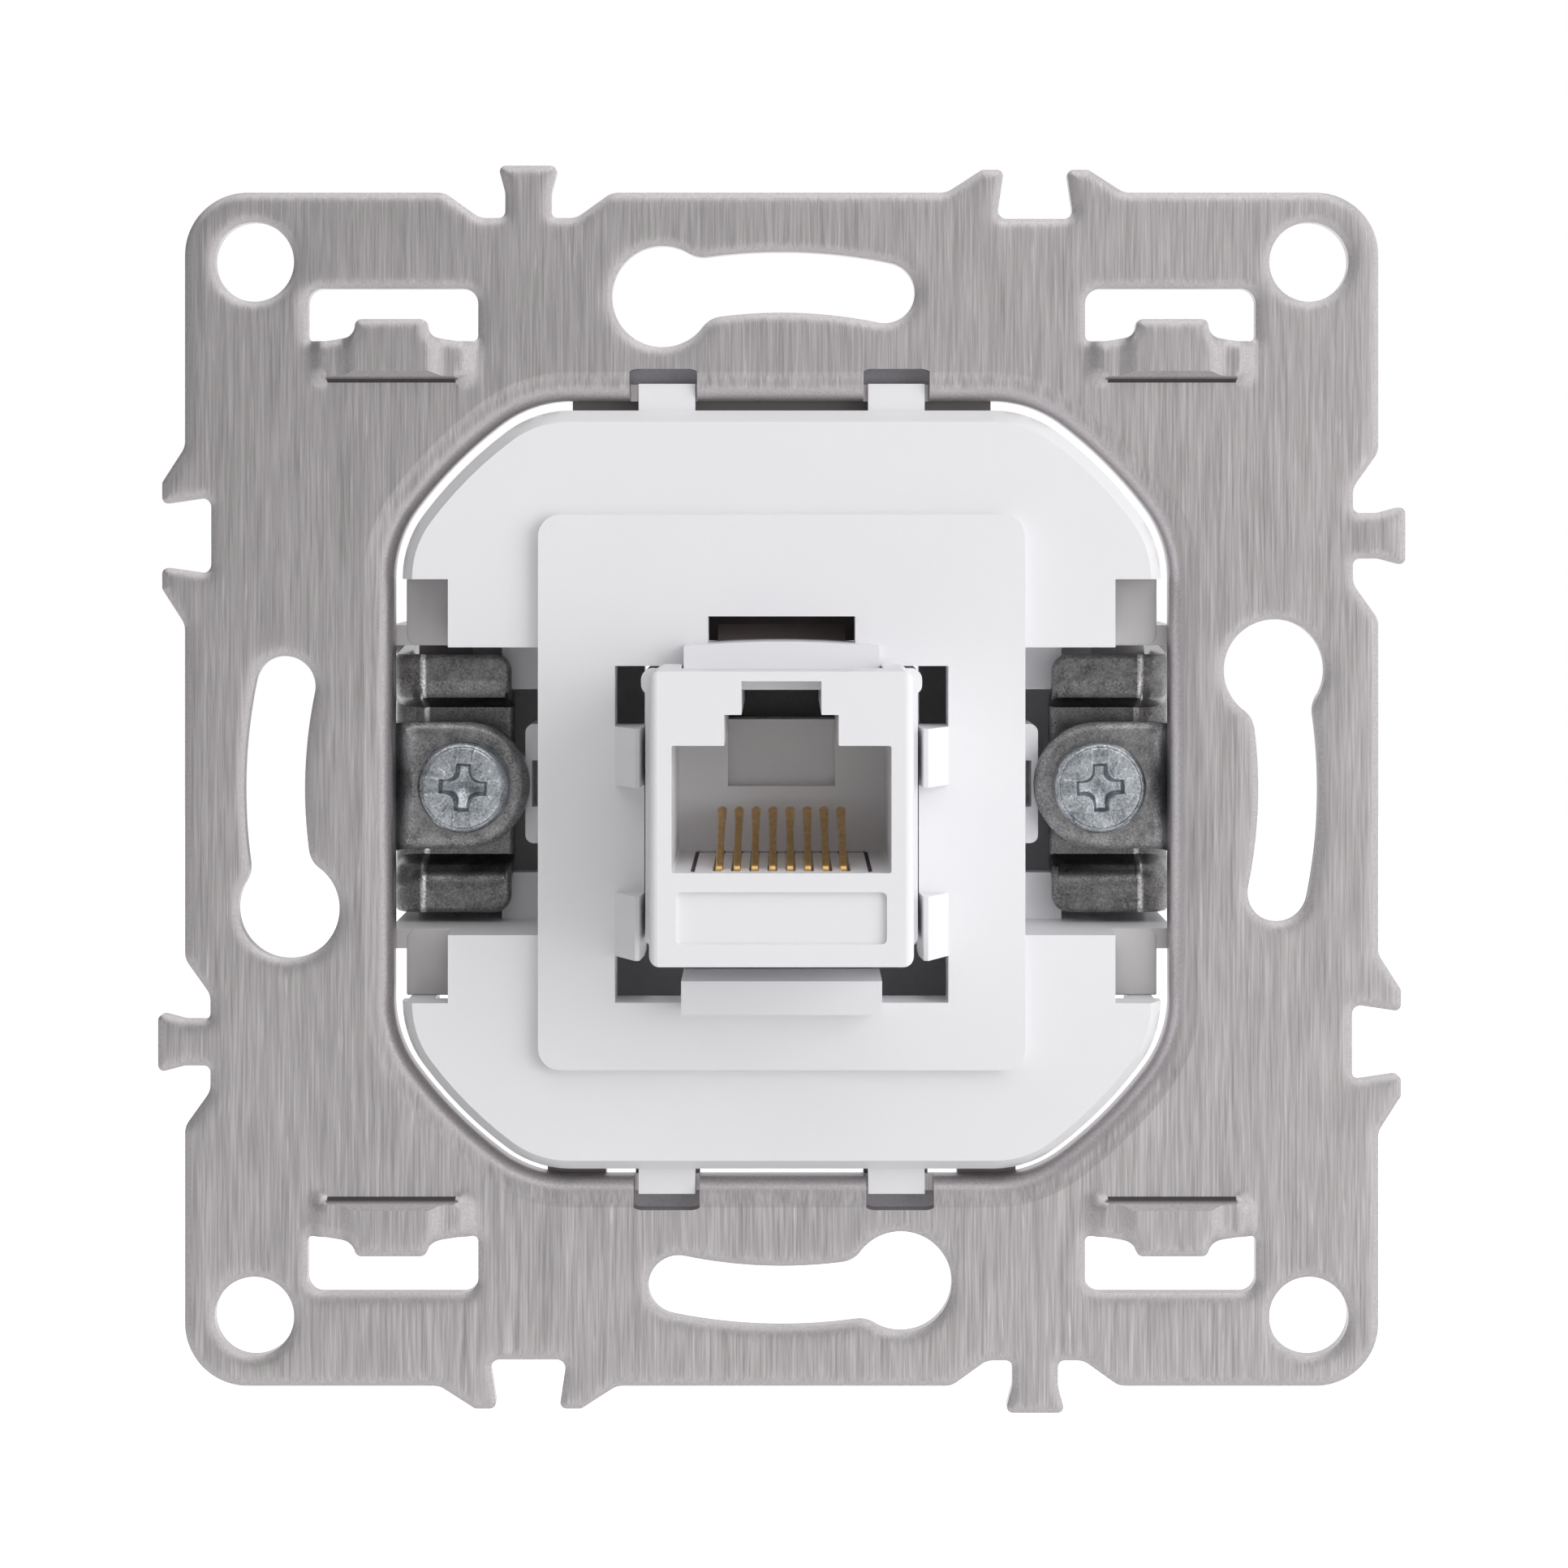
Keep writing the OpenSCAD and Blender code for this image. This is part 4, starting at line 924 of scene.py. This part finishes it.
def head_relief(x, z):
    """Depth of the screw's head below its top: dome, recess and raised ticks."""
    r = np.hypot(x, z)
    depth = HEAD_DOME * (r / HEAD_R) ** 2
    floor = CROSS_DEPTH + CROSS_CONE * np.clip(1.0 - r / CROSS_HALF, 0.0, 1.0)
    depth = depth + floor * smooth_step(-cross_gap(x, z) / CROSS_WALL)
    for turn in range(4):
        u, v = (x, z) if turn % 2 == 0 else (z, -x)
        u, v = (u, v) if turn < 2 else (-u, -v)
        depth = depth - tick(u, np.abs(v) - CROSS_WIDTH - ARM_TICK_SPREAD * (u - 1.5), ARM_TICK)
        for lean in CORNER_TICK_TURNS:
            c, s = cos_of(lean), sin_of(lean)
            depth = depth - tick(u * c + v * s, v * c - u * s, CORNER_TICK)
    return depth


def build_screw(side, tilt):
    """Vertices and faces of one screw, in millimetres; tilt is the recess's turn in degrees."""
    turns = SCREW_SIDES
    angle = np.linspace(0.0, 2.0 * math.pi, turns, endpoint=False)
    rows = []
    for r in list(np.arange(0.05, 1.62, 0.05)) + list(np.arange(1.65, 2.34, 0.06)):
        x, z = r * np.cos(angle), r * np.sin(angle)
        rows.append((np.full(turns, r), HEAD_TOP + head_relief(x, z)))
    for r, y in HEAD_RIM:
        rows.append((np.full(turns, r), np.full(turns, HEAD_TOP + y)))
    for r, y in ((HEAD_R, HEAD_BACK - HEAD_BEVEL), (HEAD_R - HEAD_BEVEL, HEAD_BACK), (SHANK_R, HEAD_BACK)):
        rows.append((np.full(turns, r), np.full(turns, y)))
    for y in np.arange(HEAD_BACK + 0.05, SCREW_END - SCREW_TIP[0], THREAD_PITCH / 8.0):
        wave = (y / THREAD_PITCH - angle / (2.0 * math.pi)) % 1.0
        rows.append((SHANK_R - THREAD_DEPTH * np.abs(2.0 * wave - 1.0), np.full(turns, y)))
    rows.append((np.full(turns, SHANK_R - SCREW_TIP[1]), np.full(turns, SCREW_END)))
    lean = math.radians(tilt)
    verts = [(side * SCREW_X, HEAD_TOP + float(head_relief(np.zeros(1), np.zeros(1))[0]), 0.0)]
    for r, y in rows:
        x, z = r * np.cos(angle + lean), r * np.sin(angle + lean)
        verts += [(side * SCREW_X + a, b, c) for a, b, c in zip(x, y, z)]
    verts.append((side * SCREW_X, SCREW_END, 0.0))
    faces = []
    for i in range(turns):
        j = (i + 1) % turns
        faces.append((0, 1 + i, 1 + j))
        for k in range(len(rows) - 1):
            a, b = 1 + k * turns, 1 + (k + 1) * turns
            faces.append((a + i, b + i, b + j, a + j))
        end = 1 + (len(rows) - 1) * turns
        faces.append((end + j, end + i, len(verts) - 1))
    return verts, faces


for side_name, side_sign in HANDS:
    add_piece("screw_" + side_name, build_screw(side_sign, RECESS_TURN[side_name]), ZINC_SCREW,
              side_name + "_screw", "claw_screw_" + side_name, SCREW_SHARP)


# Claws: one bent sheet whose foot is pressed into a channel that passes behind the tongue
CLAW_HALF = 7.8
CLAW_T = 1.0
FOOT_X = 16.4
FOOT_Y = 3.9
CHANNEL_Y = 6.1
CLAW_BEND_X = 21.9
CLAW_BEND_R = 1.17
LEG_LEAN = 5.0
LEG_RUN = 16.95
TOOTH_TURN = 28.0
TOOTH_RUN = 2.5
TOOTH_DEPTH = 1.9
TOOTH_COUNT = 5
TOOTH_ROUND = 0.15
CHANNEL_STEP = (5.75, 1.05)
CLAW_EDGE = 0.3
CLAW_EDGE_DROP = 0.14
CREASE_AT = 0.2
CREASE_HALF = 0.16
CREASE_RISE = 0.05
FOOT_CORNER = 1.0
SCREW_HOLE_R = 1.91
SCREW_HOLE_SHIFT = 0.12
LEG_SLOT = (5.5, 2.3)
LEG_SLOT_HALF = 3.9
LEG_SLOT_R = 1.5
ARC_STEPS = 13


def claw_lines():
    """Middle lines of a claw's shoulder and channel: distances they share, and points [x, y]."""
    lean = math.radians(LEG_LEAN)
    out = math.radians(LEG_LEAN + TOOTH_TURN)
    turn = np.radians(np.linspace(-90.0, -LEG_LEAN, ARC_STEPS))
    bend = CLAW_BEND_R * np.column_stack((np.cos(turn), 1.0 + np.sin(turn)))
    drop = CHANNEL_Y - FOOT_Y
    shoulder = bend + np.array((CLAW_BEND_X, FOOT_Y))
    channel = bend + np.array((CLAW_BEND_X + math.tan(lean) * drop, CHANNEL_Y))
    leg_end = shoulder[-1] + LEG_RUN * np.array((math.sin(lean), math.cos(lean)))
    tooth_end = leg_end + TOOTH_RUN * np.array((math.sin(out), math.cos(out)))
    foot = CLAW_BEND_X - FOOT_X
    turned = foot + CLAW_BEND_R * math.radians(90.0 - LEG_LEAN)
    joined = turned + np.linalg.norm(channel[-1] - shoulder[-1])
    tail = [turned + LEG_RUN, turned + LEG_RUN + TOOTH_RUN]
    lines = []
    for arc, reach, level in ((shoulder, turned, FOOT_Y), (channel, joined, CHANNEL_Y)):
        along = np.concatenate(([0.0], np.linspace(foot, reach, ARC_STEPS), tail))
        lines.append((along, np.concatenate(([(FOOT_X, level)], arc, [leg_end, tooth_end]))))
    return lines


def claw_surface(points, lines):
    """Middle of the claw's sheet at points [distance along it, z]."""
    share = smooth_step((CHANNEL_STEP[0] - np.abs(points[:, 1])) / CHANNEL_STEP[1])
    (along, shoulder), (along_channel, channel) = lines
    place = []
    for axis in range(2):
        high = np.interp(points[:, 0], along, shoulder[:, axis])
        low = np.interp(points[:, 0], along_channel, channel[:, axis])
        place.append(high * (1.0 - share) + low * share)
    return np.column_stack(place + [points[:, 1]])


def claw_normals(points, lines, step=0.06):
    along, across = np.array((step, 0.0)), np.array((0.0, step))
    ds = claw_surface(points + along, lines) - claw_surface(points - along, lines)
    dz = claw_surface(points + across, lines) - claw_surface(points - across, lines)
    normals = np.cross(ds, dz)
    return normals / np.linalg.norm(normals, axis=1)[:, None]


def claw_outline(end):
    """Outline of the flat claw: rounded inner corners and a toothed end."""
    corners = [(0.0, CLAW_HALF, FOOT_CORNER), (0.0, -CLAW_HALF, FOOT_CORNER), (end, -CLAW_HALF, 0.0)]
    pitch = 2.0 * CLAW_HALF / TOOTH_COUNT
    for i in range(TOOTH_COUNT):
        middle = -CLAW_HALF + (i + 0.5) * pitch
        corners.append((end - TOOTH_DEPTH, middle, TOOTH_ROUND))
        corners.append((end, middle + pitch / 2.0, 0.0 if i == TOOTH_COUNT - 1 else TOOTH_ROUND))
    return round_corners(corners)


def thick_sheet(loops, rows, extra):
    """Flat points of a sheet, the faces of its two sides and edges, and the points' distance from an edge."""
    starts, ends = segments_of(loops)
    normals = np.concatenate([left_normals(loop) for loop in loops])
    added = []
    for row in rows:
        points = starts + normals * row
        added.append(points[segment_gaps(points, starts, ends) > row * ROW_KEEP])
    extra = extra[inside_sheet(extra, starts, ends)]
    added.append(extra[segment_gaps(extra, starts, ends) > rows[-1] + ROW_CLEAR])
    points, faces = fill_sheet(loops, np.concatenate(added))
    count = len(points)
    whole = [tuple(int(i) for i in face[::-1]) for face in faces]
    whole += [tuple(int(i) + count for i in face) for face in faces]
    first = 0
    for loop in loops:
        for i in range(len(loop)):
            a, b = first + i, first + (i + 1) % len(loop)
            whole.append((a, b, b + count, a + count))
        first += len(loop)
    return points, whole, segment_gaps(points, starts, ends)


def build_claw(side):
    lines = claw_lines()
    along = lines[0][0]
    foot, leg_end, end = along[1], along[-2], along[-1]
    stretch = foot / (lines[1][1][1][0] - FOOT_X)
    screw = (SCREW_X - FOOT_X + SCREW_HOLE_SHIFT) * stretch
    slot = rounded_box(leg_end - LEG_SLOT[0], leg_end - LEG_SLOT[1],
                       -LEG_SLOT_HALF, LEG_SLOT_HALF, LEG_SLOT_R)
    loops = [material_left(refine(claw_outline(end)), False)]
    loops.append(material_left(arc_points((screw, 0.0), SCREW_HOLE_R, 0.0, 360.0)[:-1], True))
    loops.append(material_left(refine(slot), True))
    levels = np.concatenate((np.arange(0.4, foot - 0.6, 0.45), np.arange(foot - 0.6, foot, 0.08),
                             lines[0][0][1:-2], lines[1][0][1:-2],
                             np.arange(lines[1][0][-3] + 0.5, end, 0.8)))
    heights = np.concatenate((np.arange(-7.5, -5.6, 0.4), np.arange(-5.5, -4.0, 0.12),
                              np.arange(-3.9, 3.95, 0.6),
                              np.arange(4.0, 5.5, 0.12), np.arange(5.6, 7.55, 0.4)))
    grid = grid_points(np.unique(np.round(levels, 3)), heights)
    flat, faces, gaps = thick_sheet(loops, (0.08, 0.18, CLAW_EDGE), grid)
    part = np.clip(1.0 - gaps / CLAW_EDGE, 0.0, 1.0)
    half = (CLAW_T / 2.0 - CLAW_EDGE_DROP * part * part)[:, None]
    middle = claw_surface(flat, lines)
    normals = claw_normals(flat, lines)
    crease = CREASE_RISE * np.exp(-((flat[:, :1] - foot + CREASE_AT) / CREASE_HALF) ** 2)
    verts = np.concatenate((middle + normals * (half + crease), middle - normals * half))
    return verts * np.array((side, 1.0, 1.0)), faces


# Claw brackets: a tongue with a round, rolled end that runs into a bend at the flange
TONGUE_HALF = 3.8
TONGUE_FRONT = 1.8
TONGUE_BACK = 3.0
TONGUE_HOLE_R = 1.7
TONGUE_ROLL = 0.75
TONGUE_ROLL_DROP = 0.3
FILLET = 1.1
BRACKET_FRONT = 0.7
BRACKET_BACK_X = 24.0


def build_bracket(side):
    round_end = arc_points((SCREW_X, 0.0), TONGUE_HALF, 90.0, 270.0)
    outline = np.concatenate((round_end, [(OPENING_HALF, -TONGUE_HALF), (OPENING_HALF, TONGUE_HALF)]))
    hole = arc_points((SCREW_X, 0.0), TONGUE_HOLE_R, 0.0, 360.0)[:-1]
    loops = [material_left(refine(outline), False), material_left(hole, True)]
    levels = np.concatenate((np.arange(15.4, 21.8, 0.5), np.arange(OPENING_HALF - FILLET, OPENING_HALF, 0.1)))
    rows = (0.07, 0.16, 0.28, 0.45, TONGUE_ROLL)
    flat, faces, _ = thick_sheet(loops, rows, grid_points(levels, np.arange(-3.6, 3.61, 0.4)))
    side_gaps = TONGUE_HALF - np.abs(flat[:, 1])
    end_gaps = TONGUE_HALF - np.hypot(flat[:, 0] - SCREW_X, flat[:, 1])
    gaps = np.where(flat[:, 0] < SCREW_X, np.minimum(side_gaps, end_gaps), side_gaps)
    part = np.clip(1.0 - gaps / TONGUE_ROLL, 0.0, 1.0)
    into = np.clip(flat[:, 0] - OPENING_HALF + FILLET, 0.0, FILLET)
    bend = FILLET - np.sqrt(np.maximum(FILLET ** 2 - into ** 2, 0.0))
    front = TONGUE_FRONT + TONGUE_ROLL_DROP * part ** 2.5 - bend
    verts = [(a, y, b) for (a, b), y in zip(flat, front)]
    verts += [(a, TONGUE_BACK, b) for a, b in flat]
    base = len(verts)
    verts += [(a, y, b) for a in (OPENING_HALF, BRACKET_BACK_X) for y in (BRACKET_FRONT, TONGUE_BACK)
              for b in (-TONGUE_HALF, TONGUE_HALF)]
    quads = ((0, 1, 3, 2), (4, 6, 7, 5), (0, 4, 5, 1), (2, 3, 7, 6), (0, 2, 6, 4), (1, 5, 7, 3))
    block = outward(verts, [tuple(base + i for i in quad) for quad in quads])
    return np.array(verts) * np.array((side, 1.0, 1.0)), outward(verts, faces) + block


for side_name, side_sign in HANDS:
    add_piece("lever_" + side_name, build_claw(side_sign), ZINC, side_name + "_claw",
              "claw_" + side_name)
    add_piece("tongue_" + side_name, build_bracket(side_sign), ZINC_TONGUE, "socket",
              "claw_bracket_" + side_name)


# Port contacts: straight tapered blades from a tight bend at the front to a rounded tip
CONTACT_PITCH = 0.985
CONTACT_T = 0.3
CONTACT_REAR = (4.0, -3.8)
CONTACT_BEND = (-11.9, -3.58)
CONTACT_BEND_R = 0.22
CONTACT_TIP = (-3.6, -0.9)
CONTACT_STEP = 0.06
BLADE_FOOT = 0.42
BLADE_WIDTHS = ((0.15, 0.44), (0.35, 0.40), (0.6, 0.40), (0.8, 0.46), (0.92, 0.52))
BLADE_TIP = 0.54
BLADE_TIP_RUN = 0.26


def contact_path():
    """Points [y, z, width] of a contact's middle line from the board to its tip."""
    points = [(CONTACT_REAR[0], CONTACT_REAR[1], BLADE_FOOT)]
    turned = arc_points(CONTACT_BEND, CONTACT_BEND_R, 270.0, 105.0, CONTACT_STEP)
    points += [(y, z, BLADE_FOOT) for y, z in turned]
    start = turned[-1]
    tip = np.array(CONTACT_TIP)
    length = np.linalg.norm(tip - start)
    for share, width in BLADE_WIDTHS:
        y, z = start + (tip - start) * share
        points.append((y, z, width))
    for angle in (0.0, 30.0, 50.0, 65.0, 78.0, 88.0):
        y, z = tip + (tip - start) / length * BLADE_TIP_RUN * (sin_of(angle) - 1.0)
        points.append((y, z, BLADE_TIP * cos_of(angle)))
    return np.array(points)


def build_contact(middle):
    path = contact_path()
    line = path[:, :2]
    heading = np.gradient(line, axis=0)
    heading /= np.linalg.norm(heading, axis=1)[:, None]
    section = [(-0.5, -0.3), (-0.36, -0.5), (0.36, -0.5), (0.5, -0.3),
               (0.5, 0.3), (0.36, 0.5), (-0.36, 0.5), (-0.5, 0.3)]
    verts = []
    for (y, z, width), (dy, dz) in zip(path, heading):
        for across, up in section:
            verts.append((middle + across * width, y - dz * up * CONTACT_T, z + dy * up * CONTACT_T))
    ring = len(section)
    faces = [tuple(range(ring)), tuple(range(len(verts) - 1, len(verts) - ring - 1, -1))]
    for k in range(len(path) - 1):
        for i in range(ring):
            a, b = k * ring + i, k * ring + (i + 1) % ring
            faces.append((a, a + ring, b + ring, b))
    return verts, faces


for number in range(1, CONTACT_COUNT + 1):
    middle = (number - (CONTACT_COUNT + 1) / 2.0) * CONTACT_PITCH
    add_piece("blade_%d" % number, build_contact(middle), GOLD, "socket",
              "contact_%d" % number)


# Painted shade: a dark strip round the contact sled, on the port's floor, where the seam lies in shadow
PORT_FLOOR = -3.51
SLED_HALF = 4.8
SEAM_WIDTH = 0.22
SEAM_FRONT = -13.2
SEAM_BACK = -3.0
SEAM_LEVELS = (0.012, -0.05)


def build_seam_shade():
    """A thin U-shaped strip, closed at the back."""
    x0, x1 = SLED_HALF, SLED_HALF + SEAM_WIDTH
    y0, y1, y2 = SEAM_FRONT, SEAM_BACK, SEAM_BACK + SEAM_WIDTH
    outline = [(-x1, y0), (-x0, y0), (-x0, y1), (x0, y1), (x0, y0), (x1, y0), (x1, y2), (-x1, y2)]
    count = len(outline)
    verts = [(x, y, PORT_FLOOR + z) for z in SEAM_LEVELS for x, y in outline]
    quads = ((0, 1, 2, 7), (2, 3, 6, 7), (3, 4, 5, 6))
    faces = list(quads) + [tuple(i + count for i in quad[::-1]) for quad in quads]
    faces += [(i, i + count, (i + 1) % count + count, (i + 1) % count) for i in range(count)]
    return verts, faces


add_piece("sled_seam_shade", build_seam_shade(), SEAM, "socket")


# Ledge faces beside the plate, plates behind the clip windows, and liners that close the claw bays
LEDGE_IN = 19.62
LEDGE_OUT = 22.4
LEDGE_LOW = 8.46
LEDGE_HIGH = 12.44
LEDGE_FRONT = 0.93
LEDGE_BACK = 1.32
LINER_IN = 20.9
LINER_OUT = 22.9
LINER_HALF = 8.44
LINER_FRONT = 11.6
LINER_BACK = 12.9
CLIP_BACK_HALF = 2.45
CLIP_BACK_LOW = 23.95
CLIP_BACK_HIGH = 25.2
CLIP_BACK_FRONT = 0.98
CLIP_BACK_BACK = 1.12
SLAB_CORNER = 0.2
SLAB_EDGE = 0.12
SLAB_EDGE_DROP = 0.1
SLAB_STEP = 0.4
LEDGE_CORNERS = (0.1, 0.6)


def build_slab(outline, front, back):
    """A flat piece with a small edge radius, from an outline [x, z]."""
    loop = material_left(refine(outline, SLAB_STEP), False)
    flat, faces, gaps = thick_sheet([loop], (0.05, SLAB_EDGE), np.array([outline.mean(0)]))
    drop = SLAB_EDGE_DROP * np.clip(1.0 - gaps / SLAB_EDGE, 0.0, 1.0) ** 2
    verts = [(x, front + d, z) for (x, z), d in zip(flat, drop)]
    return verts + [(x, back, z) for x, z in flat], faces


for side in SIDES:
    where = ("right" if side[0] > 0 else "left") + ("_upper" if side[1] > 0 else "_lower")
    backing = rounded_box(CLIP_X - CLIP_BACK_HALF, CLIP_X + CLIP_BACK_HALF,
                          CLIP_BACK_LOW, CLIP_BACK_HIGH, SLAB_CORNER)
    plate = build_slab(backing * np.array(side), CLIP_BACK_FRONT, CLIP_BACK_BACK)
    add_piece("clip_backing_" + where, plate, BACKING, "socket")
    small, large = LEDGE_CORNERS
    ledge = round_corners([(LEDGE_IN, LEDGE_LOW, small), (LEDGE_OUT, LEDGE_LOW, large),
                           (LEDGE_OUT, LEDGE_HIGH, small), (LEDGE_IN, LEDGE_HIGH, small)])
    plate = build_slab(ledge * np.array(side), LEDGE_FRONT, LEDGE_BACK)
    add_piece("ledge_" + where, plate, WHITE, "socket")
for side_name, side_sign in HANDS:
    liner = rounded_box(LINER_IN, LINER_OUT, -LINER_HALF, LINER_HALF, SLAB_CORNER)
    plate = build_slab(liner * np.array((side_sign, 1.0)), LINER_FRONT, LINER_BACK)
    add_piece("bay_liner_" + side_name, plate, WHITE, "socket")


# Stage: a pale floor below, white backdrop by the world, soft light from the right
ROOM_TINT = (1.0, 0.995, 0.99, 1.0)
BACKDROP_FROM = 0.8
FLOOR_Z = -0.14
FLOOR_HALF = 1.5
FLOOR_BEHIND = 0.1
FLOOR_GLOW = 0.7
FLOOR_MIRRORED = 0.09


def mirrored_ray(s, path):
    return s.most(path.outputs["Is Glossy Ray"], path.outputs["Is Transmission Ray"])


def make_world():
    """Brighter towards the front, the right and the back; white where the camera sees it."""
    world = bpy.data.worlds.new("studio")
    bpy.context.scene.world = world
    world.use_nodes = True
    s = Nodes(world.node_tree)
    place = s.add("TexCoord").outputs["Generated"]
    x, y = (s.part_of(place, axis) for axis in "XY")
    front = s.spread(y, 0.1, -1.0, 0.20, 0.30)
    right = s.spread(x, -0.3, 1.0)
    rear = s.spread(y, 0.2, 0.8, 0.0, 0.35)
    room = s.add("Background")
    room.inputs["Color"].default_value = ROOM_TINT
    s.link(s.plus(front, s.most(right, rear)), room.inputs["Strength"])
    white = s.add("Background")
    white.inputs["Color"].default_value = grey(1.0)
    white.inputs["Strength"].default_value = 1.0
    path = s.add("LightPath")
    backdrop = s.times(mirrored_ray(s, path), s.over(y, BACKDROP_FROM))
    both = s.add("MixShader")
    s.link(s.most(backdrop, path.outputs["Is Camera Ray"]), both.inputs[0])
    s.link(room.outputs[0], both.inputs[1])
    s.link(white.outputs[0], both.inputs[2])
    s.link(both.outputs[0], s.add("OutputWorld").inputs["Surface"])


def area_light(name, at, size, power):
    """A rectangular lamp that points at the origin."""
    data = bpy.data.lights.new(name, "AREA")
    data.shape = "RECTANGLE"
    data.size = size[0]
    data.size_y = size[1]
    data.energy = power
    light = bpy.data.objects.new(name, data)
    light.location = at
    light.rotation_euler = (-Vector(at)).to_track_quat("-Z", "Y").to_euler()
    bpy.context.scene.collection.objects.link(light)
    return light


def make_floor_material():
    s = Shader("pale_floor")
    s.set("Base Color", s.mix(s.noise(60.0), grey(0.86), grey(0.88)))
    s.set("Roughness", 0.9)
    path = s.add("LightPath")
    mirrored = mirrored_ray(s, path)
    behind = s.times(mirrored, s.over(s.place_part("Y"), FLOOR_BEHIND))
    glow = s.times(s.most(path.outputs["Is Camera Ray"], behind), FLOOR_GLOW)
    s.set("Emission Color", grey(1.0))
    s.set("Emission Strength", s.most(glow, s.times(mirrored, FLOOR_MIRRORED)))
    return s.material


make_world()
key = area_light("key", (0.54, -0.45, 0.02), (0.5, 0.9), 3.65)
# Mirrored, this lamp would burn the rolled steel edges to white
key.visible_glossy = False
area_light("top", (-0.1, -0.36, 0.56), (0.9, 0.5), 1.25)

floor_mesh = bpy.data.meshes.new("floor")
floor_corners = [(x * FLOOR_HALF, y * FLOOR_HALF, FLOOR_Z) for x, y in ((-1, -1), (1, -1), (1, 1), (-1, 1))]
floor_mesh.from_pydata(floor_corners, [], [(0, 1, 2, 3)])
floor_mesh.materials.append(make_floor_material())
floor = bpy.data.objects.new("floor", floor_mesh)
bpy.context.scene.collection.objects.link(floor)
